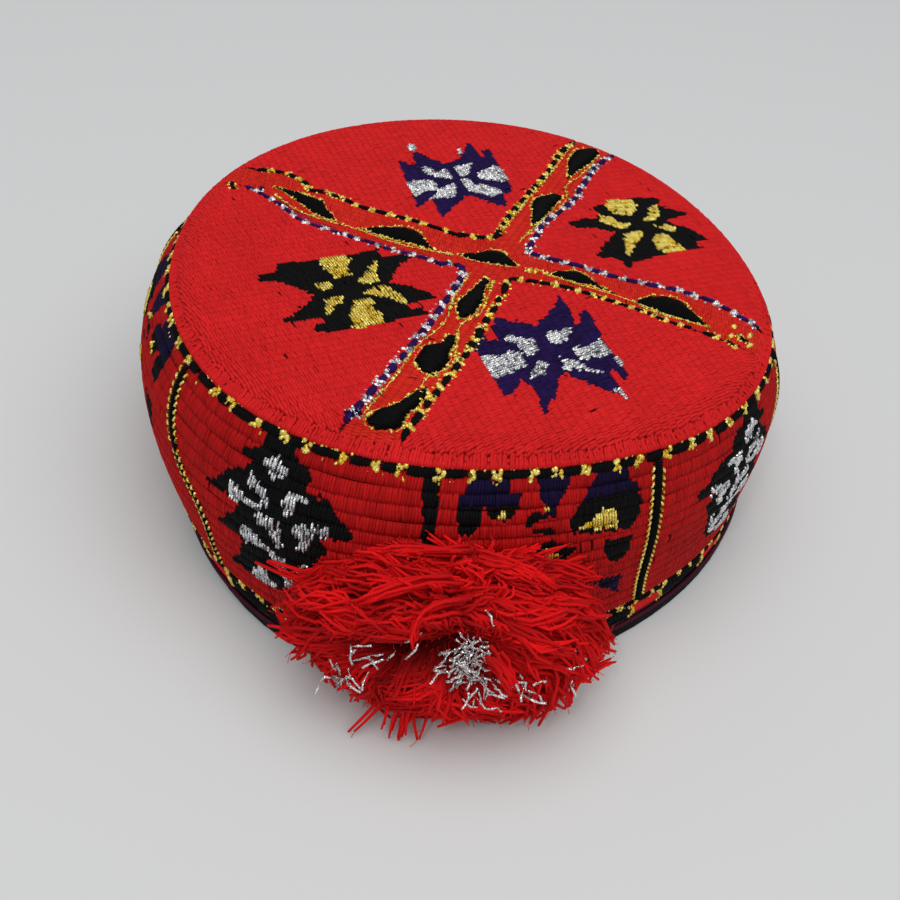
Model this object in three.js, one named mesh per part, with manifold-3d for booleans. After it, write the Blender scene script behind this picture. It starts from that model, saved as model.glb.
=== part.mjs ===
// A traditional round cap: an embroidered side band closed into a ring, a flat embroidered crown
// sewn to it under an overcast rim roll, a black binding round the hem, and a wool pompom tied to
// the front of the band. Millimetres, +Z up, the wearer's front towards -Y, the hem on Z = 0.
import * as THREE from "three";
import { mergeVertices } from "three/addons/utils/BufferGeometryUtils.js";
import Module from "manifold-3d";

const wasm = await Module();
wasm.setup();

// Side band: the ring of padded embroidery between the hem and the seam under the rim
const SEAM_RADIUS = 89.1; // mean outer radius at the seam, where a 56 to 57 cm head fits
const HEM_RADIUS = 92.1; // mean outer radius at the hem
const SEAM_HEIGHT = 65.1;
const BAND_WALL = 3.0;
const SWELL_AT_HEM = 11.9; // how fast the band swells above the hem, and how much more towards the seam
const SWELL_RISE = 33.0;

// Rim roll: the overcast quarter round that turns the band into the crown
const RIM_RISE = 5.9;
const RIM_DEPTH = 8.4;
const RIM_WALL = 3.0;
const RIM_SHOULDER = { inward: 2.4, below_top: 0.2 }; // the round's shoulder, from the seam and the rim's top

// Crown: the flat disc inside the rim roll
const CROWN_THICKNESS = 2.8;
const CROWN_DOME = 0.8;

// Edge binding: black cloth folded round the hem
const BINDING_WALL = 1.2;
const BINDING_RISE = 4.2;
const BINDING_ROUNDING = 0.5;

// Pompom: wool tied in the middle, pressed between the band and the surface it rests on
const POMPOM_ANGLE = 272; // degrees round the hat, 270 is the front
const POMPOM_CORE = { width: 76, reach: 21, height: 46 }; // reach is from the band's face outward
const POMPOM_SPREAD = 1.12; // how far the locks' middles stand out from the core, as a share of it
const POMPOM_WHORL = { right: 0.16, front: 0.5, up: 0.85 }; // where the locks part, as a direction
const LOCK_SWEEP = 12; // degrees that a lock's tip is swept round the whorl
const LOCK_ROWS = [
  { count: 7, from: 12, to: 62, width: 15, thickness: 11 },
  { count: 11, from: 48, to: 100, width: 15, thickness: 11 },
  { count: 12, from: 88, to: 142, width: 15, thickness: 10 },
];
const TIE_DIAMETER = 3.2;
const TIE_KNOT = { diameter: 7, length: 3 };
const TIE_REACH = 9; // how far the tie reaches into the pompom from the band's outer face

// How far the outlines are out of round: waves round the hat, each a share of the radius
const SEAM_WAVES = [
  { waves: 2, share: 0.017, peak: 44 },
  { waves: 3, share: 0.017, peak: -21 },
  { waves: 4, share: 0.014, peak: -28 },
];
const HEM_WAVES = [{ waves: 3, share: 0.052, peak: 28 }];
const HEM_SHIFT = { x: 2.2, y: -6.9 }; // the soft band leans, so its hem lies off the crown's middle
const WAIST_SHIFT = { x: -3.0, y: 2.1 };
const CROWN_TILT = { x: -0.022, y: -0.003 }; // rise of the crown for each mm to the right and back

const CLEARANCE = 0.3; // between pieces that are sewn to each other

// How finely the curved faces are divided
const SEGMENTS = 72;
const BAND_STATIONS = 8;
const ROUND_STATIONS = 4;
const CROWN_STATIONS = 3;
const CORE_SEGMENTS = { around: 20, down: 14 };
const LOCK_SEGMENTS = { around: 7, down: 5 };
const CORD_SIDES = 12;
const MERGE_DISTANCE = 1e-4;

const clothMaterial = (color, roughness) => new THREE.MeshStandardMaterial({ color, roughness, metalness: 0 });
const embroideredRed = clothMaterial(0xc4262a, 0.85);
const overcastRed = clothMaterial(0xb8201f, 0.8);
const bindingBlack = clothMaterial(0x0d0b0e, 0.9);
const woolRed = clothMaterial(0xc01818, 0.95);

// The band's outer radius at a share of its height, before it is pushed out of round
function bandRadius(share) {
  const cone = THREE.MathUtils.lerp(HEM_RADIUS, SEAM_RADIUS, share);
  return cone + share * (1 - share) * (SWELL_AT_HEM + SWELL_RISE * share);
}

function waveSum(rows, angle) {
  const wave = (row) => row.share * Math.cos(row.waves * (angle - THREE.MathUtils.degToRad(row.peak)));
  return rows.reduce((sum, row) => sum + wave(row), 0);
}

// Takes a point of the round, upright hat to where the worn, leaning hat has it
function settlePoint(point) {
  const share = THREE.MathUtils.clamp(point.z / SEAM_HEIGHT, 0, 1);
  const waist = 4 * share * (1 - share);
  const angle = Math.atan2(point.y, point.x);
  const stretch = 1 + waveSum(SEAM_WAVES, angle) + (1 - share) * waveSum(HEM_WAVES, angle);
  const x = point.x * stretch + HEM_SHIFT.x * (1 - share) + WAIST_SHIFT.x * waist;
  const y = point.y * stretch + HEM_SHIFT.y * (1 - share) + WAIST_SHIFT.y * waist;
  const z = point.z + share * (CROWN_TILT.x * x + CROWN_TILT.y * y);
  return point.set(x, y, z);
}

// Turns a profile of { radius, height } round the hat's axis and settles it
function turnedAndSettled(profile) {
  const outline = profile.map(({ radius, height }) => new THREE.Vector2(radius, height));
  const geometry = new THREE.LatheGeometry(outline, SEGMENTS).rotateX(Math.PI / 2);
  const position = geometry.getAttribute("position");
  const point = new THREE.Vector3();
  for (let i = 0; i < position.count; i++) {
    settlePoint(point.fromBufferAttribute(position, i));
    position.setXYZ(i, point.x, point.y, point.z);
  }
  return geometry;
}

function shares(count) {
  return Array.from({ length: count + 1 }, (_, i) => i / count);
}

function closedLoop(points) {
  return [...points, points[0]];
}

function toManifold(geometry) {
  const bare = geometry.clone();
  bare.deleteAttribute("normal");
  bare.deleteAttribute("uv");
  const merged = mergeVertices(bare, MERGE_DISTANCE);
  const vertProperties = Float32Array.from(merged.getAttribute("position").array);
  const corners = Array.from(merged.getIndex().array);
  const triVerts = [];
  for (let i = 0; i < corners.length; i += 3) {
    const [a, b, c] = corners.slice(i, i + 3);
    if (a !== b && b !== c && c !== a) triVerts.push(a, b, c);
  }
  return new wasm.Manifold(new wasm.Mesh({ numProp: 3, vertProperties, triVerts: Uint32Array.from(triVerts) }));
}

function toGeometry(manifold) {
  const mesh = manifold.getMesh();
  const geometry = new THREE.BufferGeometry();
  geometry.setAttribute("position", new THREE.BufferAttribute(Float32Array.from(mesh.vertProperties), 3));
  geometry.setIndex(Array.from(mesh.triVerts));
  geometry.computeVertexNormals();
  return geometry;
}

function named(name, manifold, material) {
  const mesh = new THREE.Mesh(toGeometry(manifold), material);
  mesh.name = name;
  return mesh;
}

// The side band's wall, from inside the folded binding up to the seam
function sideBand() {
  const foot = (BINDING_WALL + CLEARANCE) / SEAM_HEIGHT;
  const stations = shares(BAND_STATIONS).map((s) => foot + (1 - foot) * s);
  const outer = stations.map((s) => ({ radius: bandRadius(s), height: s * SEAM_HEIGHT }));
  const inner = outer.map(({ radius, height }) => ({ radius: radius - BAND_WALL, height }));
  return toManifold(turnedAndSettled(closedLoop([...outer, ...inner.reverse()])));
}

// One face of the rim roll: a curve from the seam up and in to the crown, moved inward by an offset
function rimFace(offset) {
  const foot = new THREE.Vector2(SEAM_RADIUS - offset, SEAM_HEIGHT + CLEARANCE);
  const shoulder = new THREE.Vector2(
    SEAM_RADIUS - RIM_SHOULDER.inward - offset,
    SEAM_HEIGHT + RIM_RISE - RIM_SHOULDER.below_top - offset,
  );
  const end = new THREE.Vector2(SEAM_RADIUS - RIM_DEPTH, SEAM_HEIGHT + RIM_RISE - offset);
  const curve = new THREE.QuadraticBezierCurve(foot, shoulder, end);
  return curve.getPoints(ROUND_STATIONS).map((p) => ({ radius: p.x, height: p.y }));
}

function rimRoll() {
  return toManifold(turnedAndSettled(closedLoop([...rimFace(0), ...rimFace(RIM_WALL).reverse()])));
}

// The crown's disc, from the middle of its top round its edge to the middle of its underside
function crownTop() {
  const radius = SEAM_RADIUS - RIM_DEPTH - CLEARANCE;
  const edge = SEAM_HEIGHT + RIM_RISE;
  const domed = (share) => ({ radius: radius * share, height: edge + CROWN_DOME * (1 - share * share) });
  const top = shares(CROWN_STATIONS).map(domed);
  const underside = top.map((p) => ({ radius: p.radius, height: p.height - CROWN_THICKNESS }));
  return toManifold(turnedAndSettled([...top, ...underside.reverse()].reverse()));
}

// The binding's outer radius at a height above the hem
function bindingRadius(height) {
  return bandRadius(height / SEAM_HEIGHT) + CLEARANCE + BINDING_WALL;
}

// Folded cloth round the hem: an outer leg, the fold on the floor and an inner leg
function edgeBinding() {
  const rounding = BINDING_ROUNDING;
  const bandOuter = (height) => bandRadius(height / SEAM_HEIGHT) + CLEARANCE;
  const bandInner = (height) => bandRadius(height / SEAM_HEIGHT) - BAND_WALL - CLEARANCE;
  const profile = [
    { radius: bindingRadius(0) - rounding, height: 0 },
    { radius: bindingRadius(rounding), height: rounding },
    { radius: bindingRadius(BINDING_RISE), height: BINDING_RISE },
    { radius: bandOuter(BINDING_RISE), height: BINDING_RISE },
    { radius: bandOuter(BINDING_WALL), height: BINDING_WALL },
    { radius: bandInner(BINDING_WALL), height: BINDING_WALL },
    { radius: bandInner(BINDING_RISE), height: BINDING_RISE },
    { radius: bandInner(BINDING_RISE) - BINDING_WALL, height: BINDING_RISE },
    { radius: bandInner(rounding) - BINDING_WALL, height: rounding },
    { radius: bandInner(0) - BINDING_WALL + rounding, height: 0 },
  ];
  return toManifold(turnedAndSettled(closedLoop(profile)));
}

// All the room that the band and its binding take up, with the clearance round them
function bandEnvelope() {
  const step = BINDING_RISE + CLEARANCE;
  const wall = shares(BAND_STATIONS).map((s) => THREE.MathUtils.lerp(step, SEAM_HEIGHT, s));
  const face = wall.map((height) => ({ radius: bandRadius(height / SEAM_HEIGHT) + CLEARANCE, height }));
  const profile = [
    { radius: 0, height: -CLEARANCE },
    { radius: bindingRadius(0) + CLEARANCE, height: -CLEARANCE },
    { radius: bindingRadius(step) + CLEARANCE, height: step },
    ...face,
    { radius: 0, height: SEAM_HEIGHT },
  ];
  return toManifold(turnedAndSettled(profile));
}

// The point on the band's outer face that the pompom is tied to, and the outward direction there
function pompomSeat() {
  const angle = THREE.MathUtils.degToRad(POMPOM_ANGLE);
  const height = POMPOM_CORE.height / 2;
  const radius = bandRadius(height / SEAM_HEIGHT);
  const outward = new THREE.Vector3(Math.cos(angle), Math.sin(angle), 0);
  return { point: settlePoint(outward.clone().multiplyScalar(radius).setZ(height)), outward };
}

// A flattened drop of wool from one point to another
function lock(base, tip, width, thickness, outward) {
  const along = tip.clone().sub(base);
  const length = along.length() + thickness;
  const across = new THREE.Vector3().crossVectors(outward, along).normalize();
  const depth = new THREE.Vector3().crossVectors(along, across).normalize();
  const turn = new THREE.Matrix4().makeBasis(along.clone().normalize(), across, depth);
  return new THREE.SphereGeometry(0.5, LOCK_SEGMENTS.around, LOCK_SEGMENTS.down)
    .scale(length, width, thickness)
    .applyMatrix4(turn)
    .translate(...base.clone().lerp(tip, 0.5).toArray());
}

// The pompom's core with rows of locks that part at the whorl, cut where it meets band and surface
function pompom(tie) {
  const seat = pompomSeat();
  const half = new THREE.Vector3(POMPOM_CORE.width / 2, POMPOM_CORE.reach, POMPOM_CORE.height / 2);
  const side = new THREE.Vector3(-seat.outward.y, seat.outward.x, 0);
  const turn = new THREE.Matrix4().makeBasis(side, seat.outward.clone().negate(), new THREE.Vector3(0, 0, 1));
  const whorl = new THREE.Vector3(POMPOM_WHORL.right, -POMPOM_WHORL.front, POMPOM_WHORL.up).normalize();
  const level = new THREE.Vector3(1, 0, 0).cross(whorl).normalize();
  const cross = new THREE.Vector3().crossVectors(whorl, level);
  const place = (geometry) => toManifold(geometry.applyMatrix4(turn).translate(...seat.point.toArray()));
  const onCore = (around, away, stretch) => {
    const flat = level.clone().multiplyScalar(Math.cos(around)).addScaledVector(cross, Math.sin(around));
    const direction = whorl.clone().multiplyScalar(Math.cos(away)).addScaledVector(flat, Math.sin(away));
    return direction.multiply(half).multiplyScalar(stretch);
  };
  const core = new THREE.SphereGeometry(1, CORE_SEGMENTS.around, CORE_SEGMENTS.down);
  const pieces = [place(core.scale(...half.toArray()))];
  const sweep = THREE.MathUtils.degToRad(LOCK_SWEEP);
  LOCK_ROWS.forEach((row, rowIndex) => {
    for (let i = 0; i < row.count; i++) {
      const around = ((i + rowIndex / 2) / row.count) * 2 * Math.PI;
      const base = onCore(around, THREE.MathUtils.degToRad(row.from), 1);
      const tip = onCore(around + sweep, THREE.MathUtils.degToRad(row.to), POMPOM_SPREAD);
      const outward = base.clone().add(tip);
      pieces.push(place(lock(base, tip, row.width, row.thickness, outward)));
    }
  });
  const wool = pieces.reduce((sum, piece) => sum.add(piece));
  return wool.subtract(bandEnvelope()).subtract(surfaceBelow()).subtract(tie);
}

// The surface that the hat rests on, as a slab under the whole of it
function surfaceBelow() {
  const width = 4 * HEM_RADIUS;
  const depth = POMPOM_CORE.height;
  return toManifold(new THREE.BoxGeometry(width, width, depth).translate(0, 0, -depth / 2));
}

// The tie that carries the pompom: a cord from inside the pompom through the band to a knot
function tieCord(clearance) {
  const seat = pompomSeat();
  const cord = (diameter, length, start) => {
    const radius = diameter / 2 + clearance;
    return new THREE.CylinderGeometry(radius, radius, length + 2 * clearance, CORD_SIDES)
      .translate(0, start + length / 2, 0)
      .applyQuaternion(new THREE.Quaternion().setFromUnitVectors(new THREE.Vector3(0, 1, 0), seat.outward))
      .translate(...seat.point.toArray());
  };
  const knotStart = -BAND_WALL - 2 * CLEARANCE - TIE_KNOT.length;
  const shankStart = knotStart + TIE_KNOT.length / 2;
  const shank = cord(TIE_DIAMETER, TIE_REACH - shankStart, shankStart);
  const knot = cord(TIE_KNOT.diameter, TIE_KNOT.length, knotStart);
  return toManifold(shank).add(toManifold(knot));
}

const hat = new THREE.Group();
const tie = tieCord(0);
const tieRoom = tieCord(CLEARANCE);
hat.add(
  named("crown_top", crownTop(), embroideredRed),
  named("rim_roll", rimRoll(), overcastRed),
  named("side_band", sideBand().subtract(tieRoom), embroideredRed),
  named("edge_binding", edgeBinding(), bindingBlack),
  named("pompom", pompom(tieRoom), woolRed),
  named("pompom_tie", tie, woolRed),
);

// The middle of the hat's base is the origin
const middle = new THREE.Box3().setFromObject(hat).getCenter(new THREE.Vector3());
hat.position.set(-middle.x, -middle.y, 0);

export default hat;
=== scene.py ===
# The looks of a traditional embroidered round cap with a wool pompom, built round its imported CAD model.
# Charts and sizes are in millimetres from the hat's own axis and the surface that it stands on.
import math

import bpy
import numpy as np
from mathutils import Matrix, Vector


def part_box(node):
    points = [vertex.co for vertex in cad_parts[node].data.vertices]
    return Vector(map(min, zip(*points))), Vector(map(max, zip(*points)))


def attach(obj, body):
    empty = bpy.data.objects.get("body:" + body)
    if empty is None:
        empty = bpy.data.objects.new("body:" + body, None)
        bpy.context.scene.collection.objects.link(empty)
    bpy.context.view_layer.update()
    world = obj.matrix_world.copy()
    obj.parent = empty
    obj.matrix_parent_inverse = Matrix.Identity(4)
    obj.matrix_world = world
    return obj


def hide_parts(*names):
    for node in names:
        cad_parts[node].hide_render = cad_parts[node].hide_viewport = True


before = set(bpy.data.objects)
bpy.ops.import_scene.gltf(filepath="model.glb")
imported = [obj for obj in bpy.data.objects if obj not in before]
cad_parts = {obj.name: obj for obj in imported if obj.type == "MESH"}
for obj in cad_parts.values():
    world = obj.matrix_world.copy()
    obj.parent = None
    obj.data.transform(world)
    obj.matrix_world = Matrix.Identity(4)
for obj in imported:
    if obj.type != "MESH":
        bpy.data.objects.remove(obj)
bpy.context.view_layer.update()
MM = 0.001

# The hat's form, as the CAD model has it
SEAM_RADIUS = 89.1
HEM_RADIUS = 92.1
SEAM_HEIGHT = 65.1
SWELL_AT_HEM = 11.9
SWELL_RISE = 33.0
RIM_RISE = 5.9
RIM_DEPTH = 8.4
RIM_SHOULDER = (2.4, 0.2)  # inward from the seam, below the rim's top
CROWN_DOME = 0.8
CLEARANCE = 0.3
SEAM_WAVES = [(2, 0.017, 44), (3, 0.017, -21), (4, 0.014, -28)]  # waves round, share of radius, peak
HEM_WAVES = [(3, 0.052, 28)]
HEM_SHIFT = (2.2, -6.9)
WAIST_SHIFT = (-3.0, 2.1)
CROWN_TILT = (-0.022, -0.003)
RIM_TOP = SEAM_HEIGHT + RIM_RISE
CROWN_RADIUS = SEAM_RADIUS - RIM_DEPTH - CLEARANCE

random = np.random.default_rng(4152)


# Surfaces

def wave_sum(rows, angle):
    return sum(share * np.cos(waves * (angle - math.radians(peak))) for waves, share, peak in rows)


def settle(radius, angle, height):
    """Takes a point of the round, upright hat to where the soft, leaning hat has it."""
    share = np.clip(height / SEAM_HEIGHT, 0, 1)
    waist = 4 * share * (1 - share)
    stretch = 1 + wave_sum(SEAM_WAVES, angle) + (1 - share) * wave_sum(HEM_WAVES, angle)
    x = radius * np.cos(angle) * stretch + HEM_SHIFT[0] * (1 - share) + WAIST_SHIFT[0] * waist
    y = radius * np.sin(angle) * stretch + HEM_SHIFT[1] * (1 - share) + WAIST_SHIFT[1] * waist
    z = height + share * (CROWN_TILT[0] * x + CROWN_TILT[1] * y)
    return np.stack([x, y, z], -1)


def band_radius(height):
    share = height / SEAM_HEIGHT
    cone = HEM_RADIUS + (SEAM_RADIUS - HEM_RADIUS) * share
    return cone + share * (1 - share) * (SWELL_AT_HEM + SWELL_RISE * share)


ROUND = 94.0  # the band's mean radius: a chart's millimetres round the hat over this are an angle
TURN = 2 * math.pi * ROUND  # once round the hat on a chart


def band_surface(along, height):
    return settle(band_radius(height), along / ROUND, height)


def rim_section(share):
    """Radius and height of the rim's face: share is 0 at the seam and 1 where the rim meets the crown."""
    foot = (SEAM_RADIUS, SEAM_HEIGHT + CLEARANCE)
    shoulder = (SEAM_RADIUS - RIM_SHOULDER[0], RIM_TOP - RIM_SHOULDER[1])
    end = (SEAM_RADIUS - RIM_DEPTH, RIM_TOP)
    weights = ((1 - share) ** 2, 2 * share * (1 - share), share ** 2)
    return [sum(weight * point[i] for weight, point in zip(weights, (foot, shoulder, end))) for i in (0, 1)]


def rim_surface(along, share):
    radius, height = rim_section(share)
    return settle(radius, along / ROUND, height)


def round_radius(x, y):
    """How far from the axis a point above the seam would be on the round hat."""
    return np.hypot(x, y) / (1 + wave_sum(SEAM_WAVES, np.arctan2(y, x)))


def crown_surface(x, y):
    """The top of the hat: the crown's shallow dome and, past its edge, the rim's shoulder."""
    radius = round_radius(x, y)
    rim_radius, rim_height = rim_section(np.linspace(1, 0, 60))
    dome = RIM_TOP + CROWN_DOME * (1 - (radius / CROWN_RADIUS) ** 2)
    z = np.where(radius < CROWN_RADIUS, dome, np.interp(radius, rim_radius, rim_height))
    return np.stack([x, y, z + CROWN_TILT[0] * x + CROWN_TILT[1] * y], -1)


def hat_axis():
    """Where the hat's axis stands in the frame: the crown's disc has its box there."""
    low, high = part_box("crown_top")
    angle = np.linspace(0, 2 * math.pi, 72, endpoint=False)
    ring = settle(CROWN_RADIUS, angle, np.full(72, RIM_TOP))
    middle = (ring.min(0) + ring.max(0)) / 2
    return np.array([(low.x + high.x) / 2 / MM - middle[0], (low.y + high.y) / 2 / MM - middle[1], 0])


AXIS = hat_axis()


def unit(vectors):
    return vectors / np.maximum(np.linalg.norm(vectors, axis=-1, keepdims=True), 1e-9)


def on_surface(surface, a, b, out):
    """The points a given distance out from a surface, and the surface's outward directions there."""
    step = 0.02
    base = surface(a, b)
    normal = unit(np.cross(surface(a + step, b) - base, surface(a, b + step) - base))
    return base + normal * np.asarray(out)[..., None], normal


# Meshes

def mesh_object(name, vertices, corners, counts, material, shade=None, uv=None):
    """A smooth mesh from its vertices, its faces' corners in one row, and the corners in each face."""
    mesh = bpy.data.meshes.new(name)
    mesh.vertices.add(len(vertices))
    mesh.vertices.foreach_set("co", ((vertices + AXIS) * MM).astype(np.float32).ravel())
    mesh.loops.add(len(corners))
    mesh.loops.foreach_set("vertex_index", corners.astype(np.int32))
    mesh.polygons.add(len(counts))
    starts = np.concatenate([[0], np.cumsum(counts)[:-1]])
    mesh.polygons.foreach_set("loop_start", starts.astype(np.int32))
    mesh.polygons.foreach_set("use_smooth", np.ones(len(counts), bool))
    if uv is not None:
        layer = mesh.uv_layers.new(name="thread")
        layer.data.foreach_set("uv", uv[corners].astype(np.float32).ravel())
    if shade is not None:
        attribute = mesh.attributes.new("shade", "FLOAT", "POINT")
        attribute.data.foreach_set("value", shade.astype(np.float32))
    mesh.update(calc_edges=True)
    mesh.validate()
    mesh.materials.append(material)
    piece = bpy.data.objects.new(name, mesh)
    bpy.context.scene.collection.objects.link(piece)
    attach(piece, "root")
    return piece


def ring_faces(tubes, stations, sides):
    """Corners and counts of closed skins over rings of vertices, numbered tube by tube and ring by ring."""
    index = np.arange(tubes * stations * sides).reshape(tubes, stations, sides)
    following = np.roll(index, -1, axis=2)
    quads = np.stack([index[:, :-1], index[:, 1:], following[:, 1:], following[:, :-1]], -1).reshape(-1, 4)
    caps = np.concatenate([index[:, 0], index[:, -1, ::-1]])
    corners = np.concatenate([quads.ravel(), caps.ravel()])
    return corners, np.concatenate([np.full(len(quads), 4), np.full(len(caps), sides)])


def tube_arrays(points, up, half_width, half_height, sides):
    """Closed tubes along rows of points (tubes, stations, 3): vertices, face corners and counts, and each
    vertex's place along and round its tube."""
    tubes, stations, _ = points.shape
    along = np.gradient(points, axis=1)
    across = unit(np.cross(along, up))
    upward = unit(np.cross(across, along))
    turn = math.pi / 2 + 2 * math.pi * np.arange(sides) / sides
    width = np.broadcast_to(half_width, (tubes, stations))[:, :, None, None]
    height = np.broadcast_to(half_height, (tubes, stations))[:, :, None, None]
    ring = across[:, :, None] * np.cos(turn)[:, None] * width
    ring = ring + upward[:, :, None] * np.sin(turn)[:, None] * height
    vertices = (points[:, :, None] + ring).reshape(-1, 3)
    corners, counts = ring_faces(tubes, stations, sides)
    steps = np.linalg.norm(np.diff(points, axis=1), axis=2)
    length = np.concatenate([np.zeros((tubes, 1)), np.cumsum(steps, 1)], 1)
    uv = np.stack(np.broadcast_arrays(length[:, :, None], np.arange(sides) / sides), -1).reshape(-1, 2)
    return vertices, corners, counts, uv


def crowned(t, power=2):
    """The height of a satin thread over its padding, from -1 to 1 across it."""
    return np.sqrt(1 - 0.98 * t ** power)


threads = {}


def add_tubes(piece, points, up, half_width, half_height, sides=3, shade=None):
    """Lays tubes into a named piece, which is built with the rest of its threads by build_threads()."""
    if not len(points):
        return
    vertices, corners, counts, uv = tube_arrays(points, up, half_width, half_height, sides)
    if shade is None:
        shade = random.random(len(points))
    shade = np.broadcast_to(np.reshape(shade, (len(points), -1)), points.shape[:2])
    per_vertex = np.repeat(shade.ravel(), sides)
    threads.setdefault(piece, []).append((vertices, corners, counts, uv, per_vertex))


def add_on_surface(piece, surface, a, b, out, half_width, half_height, sides=3, shade=None):
    points, normal = on_surface(surface, a, b, out)
    add_tubes(piece, points, normal, half_width, half_height, sides, shade)


def build_threads(slots):
    """Joins what was laid into each piece and gives it the material for its thread's name from slots; the
    slot that slots also gives is not used.
    """
    for piece, blocks in sorted(threads.items()):
        shift = np.cumsum([0] + [len(block[0]) for block in blocks[:-1]])
        vertices, counts, uv, shade = (np.concatenate([block[i] for block in blocks]) for i in (0, 2, 3, 4))
        corners = np.concatenate([block[1] + start for block, start in zip(blocks, shift)])
        thread = next(name for name in slots if f"_{name}_" in f"_{piece}_")
        slot, material = slots[thread]
        mesh_object(piece, vertices, corners, counts, material, shade, uv)


# Stitches

def colour_runs(colours):
    """The runs of one colour in stitches (rows) with the colours of their parts (columns, "" for none): each
    run's stitch, first part, last part + 1 and colour."""
    parts = colours.shape[1]
    found = []
    for first in range(parts):
        for last in range(first + 1, parts + 1):
            same = (colours[:, first:last] == colours[:, first:first + 1]).all(1) & (colours[:, first] != "")
            if first > 0:
                same &= colours[:, first - 1] != colours[:, first]
            if last < parts:
                same &= colours[:, last] != colours[:, first]
            rows = np.flatnonzero(same)
            found.append((rows, np.full(len(rows), first), np.full(len(rows), last), colours[rows, first]))
    return [np.concatenate(column) for column in zip(*found)]


THREAD_STATIONS = 4
SUNK_SHARE = 0.02  # stitches that were pulled deeper than their neighbours
SUNK_DEPTH = 0.12
WORN_SHARE = 0.0025  # stitches that are worn through
SLANT_SPREAD = 0.12
TUCK = 0.25  # how deep the ends of a part go in a stitch with parts of other colours
FLAT = 0.2  # half of a flat stitch's thickness, as a share of half its width
METAL_LIFT = 0.12
METAL_FORM = (0.7, 0.5)  # half of a metal stitch's width and thickness, as shares of half a flat one's width


def part_middles(count):
    """Middles of a stitch's parts, from -1 to 1 across its cord."""
    return (np.arange(count) * 2 + 1) / count - 1


def lay_stitches(prefix, surface, a, b, across, colours, arch, slant, width, suffix=None):
    """Lays one thread over the cord under it for each run of a colour. a, b: the stitches' middles on the
    surface; across: half of the cord's width as a vector on it; arch: heights at the cord's edge and middle;
    suffix: the endings of pieces' names by which stitches are in them."""
    stitch, first, last, colour = colour_runs(colours)
    parts = colours.shape[1]
    share = np.linspace(0, 1, THREAD_STATIONS)
    t = (-1 + 2 * first / parts)[:, None] + (2 * (last - first) / parts)[:, None] * share
    height = arch[0] + (arch[1] - arch[0]) * np.sqrt(np.clip(1 - t ** 2, 0, 1))
    sunk = random.random(len(a)) < SUNK_SHARE
    height += random.normal(0, 0.02, len(stitch))[:, None] - SUNK_DEPTH * sunk[stitch][:, None]
    end = np.abs(2 * share - 1) ** 4
    height -= TUCK * end * (last - first < parts)[:, None]
    lean = random.normal(slant, SLANT_SPREAD, len(a))[stitch][:, None] * t
    side = unit(np.stack([-across[..., 1], across[..., 0]], -1))
    cross = np.broadcast_to(across, (len(a), 2))[stitch]
    side = np.broadcast_to(side, (len(a), 2))[stitch]
    along_a = a[stitch][:, None] + cross[:, :1] * t + side[:, :1] * lean
    along_b = b[stitch][:, None] + cross[:, 1:] * t + side[:, 1:] * lean
    endings = suffix(a[stitch]) if suffix else {"": np.full(len(stitch), True)}
    for name in np.unique(colour):
        for ending, rows in endings.items():
            pick = (colour == name) & rows & (random.random(len(stitch)) > WORN_SHARE)
            metal = name in ("gold", "silver")
            wide, thick = METAL_FORM if metal else (1, FLAT)
            add_on_surface(
                f"{prefix}_{name}_stitches{ending}", surface, along_a[pick], along_b[pick],
                height[pick] + METAL_LIFT * metal, width * wide, width * thick)


def inside(polygon, x, y):
    """Whether points are inside a polygon on a chart."""
    this_x, this_y = np.array(polygon, float).T
    next_x, next_y = np.roll(this_x, -1), np.roll(this_y, -1)
    x, y = x[..., None], y[..., None]
    crosses = (this_y > y) != (next_y > y)
    rise = np.where(next_y == this_y, 1, next_y - this_y)
    return (crosses & (x < this_x + (y - this_y) / rise * (next_x - this_x))).sum(-1) % 2 == 1


def distance_to(route, x, y):
    """How far points are from a route of straight stretches on a chart."""
    route = np.array(route, float)
    best = np.full(np.shape(x), 1e9)
    for start, end in zip(route[:-1], route[1:]):
        dx, dy = end - start
        away_x, away_y = x - start[0], y - start[1]
        share = np.clip((away_x * dx + away_y * dy) / (dx * dx + dy * dy), 0, 1)
        best = np.minimum(best, np.hypot(away_x - share * dx, away_y - share * dy))
    return best


def smooth_route(route, pitch):
    """Points a pitch apart on a curve through a route's points, with their direction and length so far."""
    route = np.array(route, float)
    fine = np.linspace(0, len(route) - 1, 40 * len(route))
    curve = np.stack([catmull(route[:, i], fine) for i in range(route.shape[1])], -1)
    travel = np.concatenate([[0], np.cumsum(np.linalg.norm(np.diff(curve, axis=0), axis=1))])
    length = np.arange(0, travel[-1], pitch)
    points = np.stack([np.interp(length, travel, curve[:, i]) for i in range(route.shape[1])], -1)
    return points, unit(np.gradient(points, axis=0)), length


def catmull(values, at):
    """Values at places between the knots 0, 1, 2 and on, by a Catmull-Rom curve."""
    i = np.clip(at.astype(int), 0, len(values) - 2)
    t = at - i
    before, after = values[np.maximum(i - 1, 0)], values[np.minimum(i + 2, len(values) - 1)]
    p, q = values[i], values[i + 1]
    bend = 2 * before - 5 * p + 4 * q - after + t * (3 * (p - q) + after - before)
    return p + 0.5 * t * (q - before + t * bend)


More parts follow.
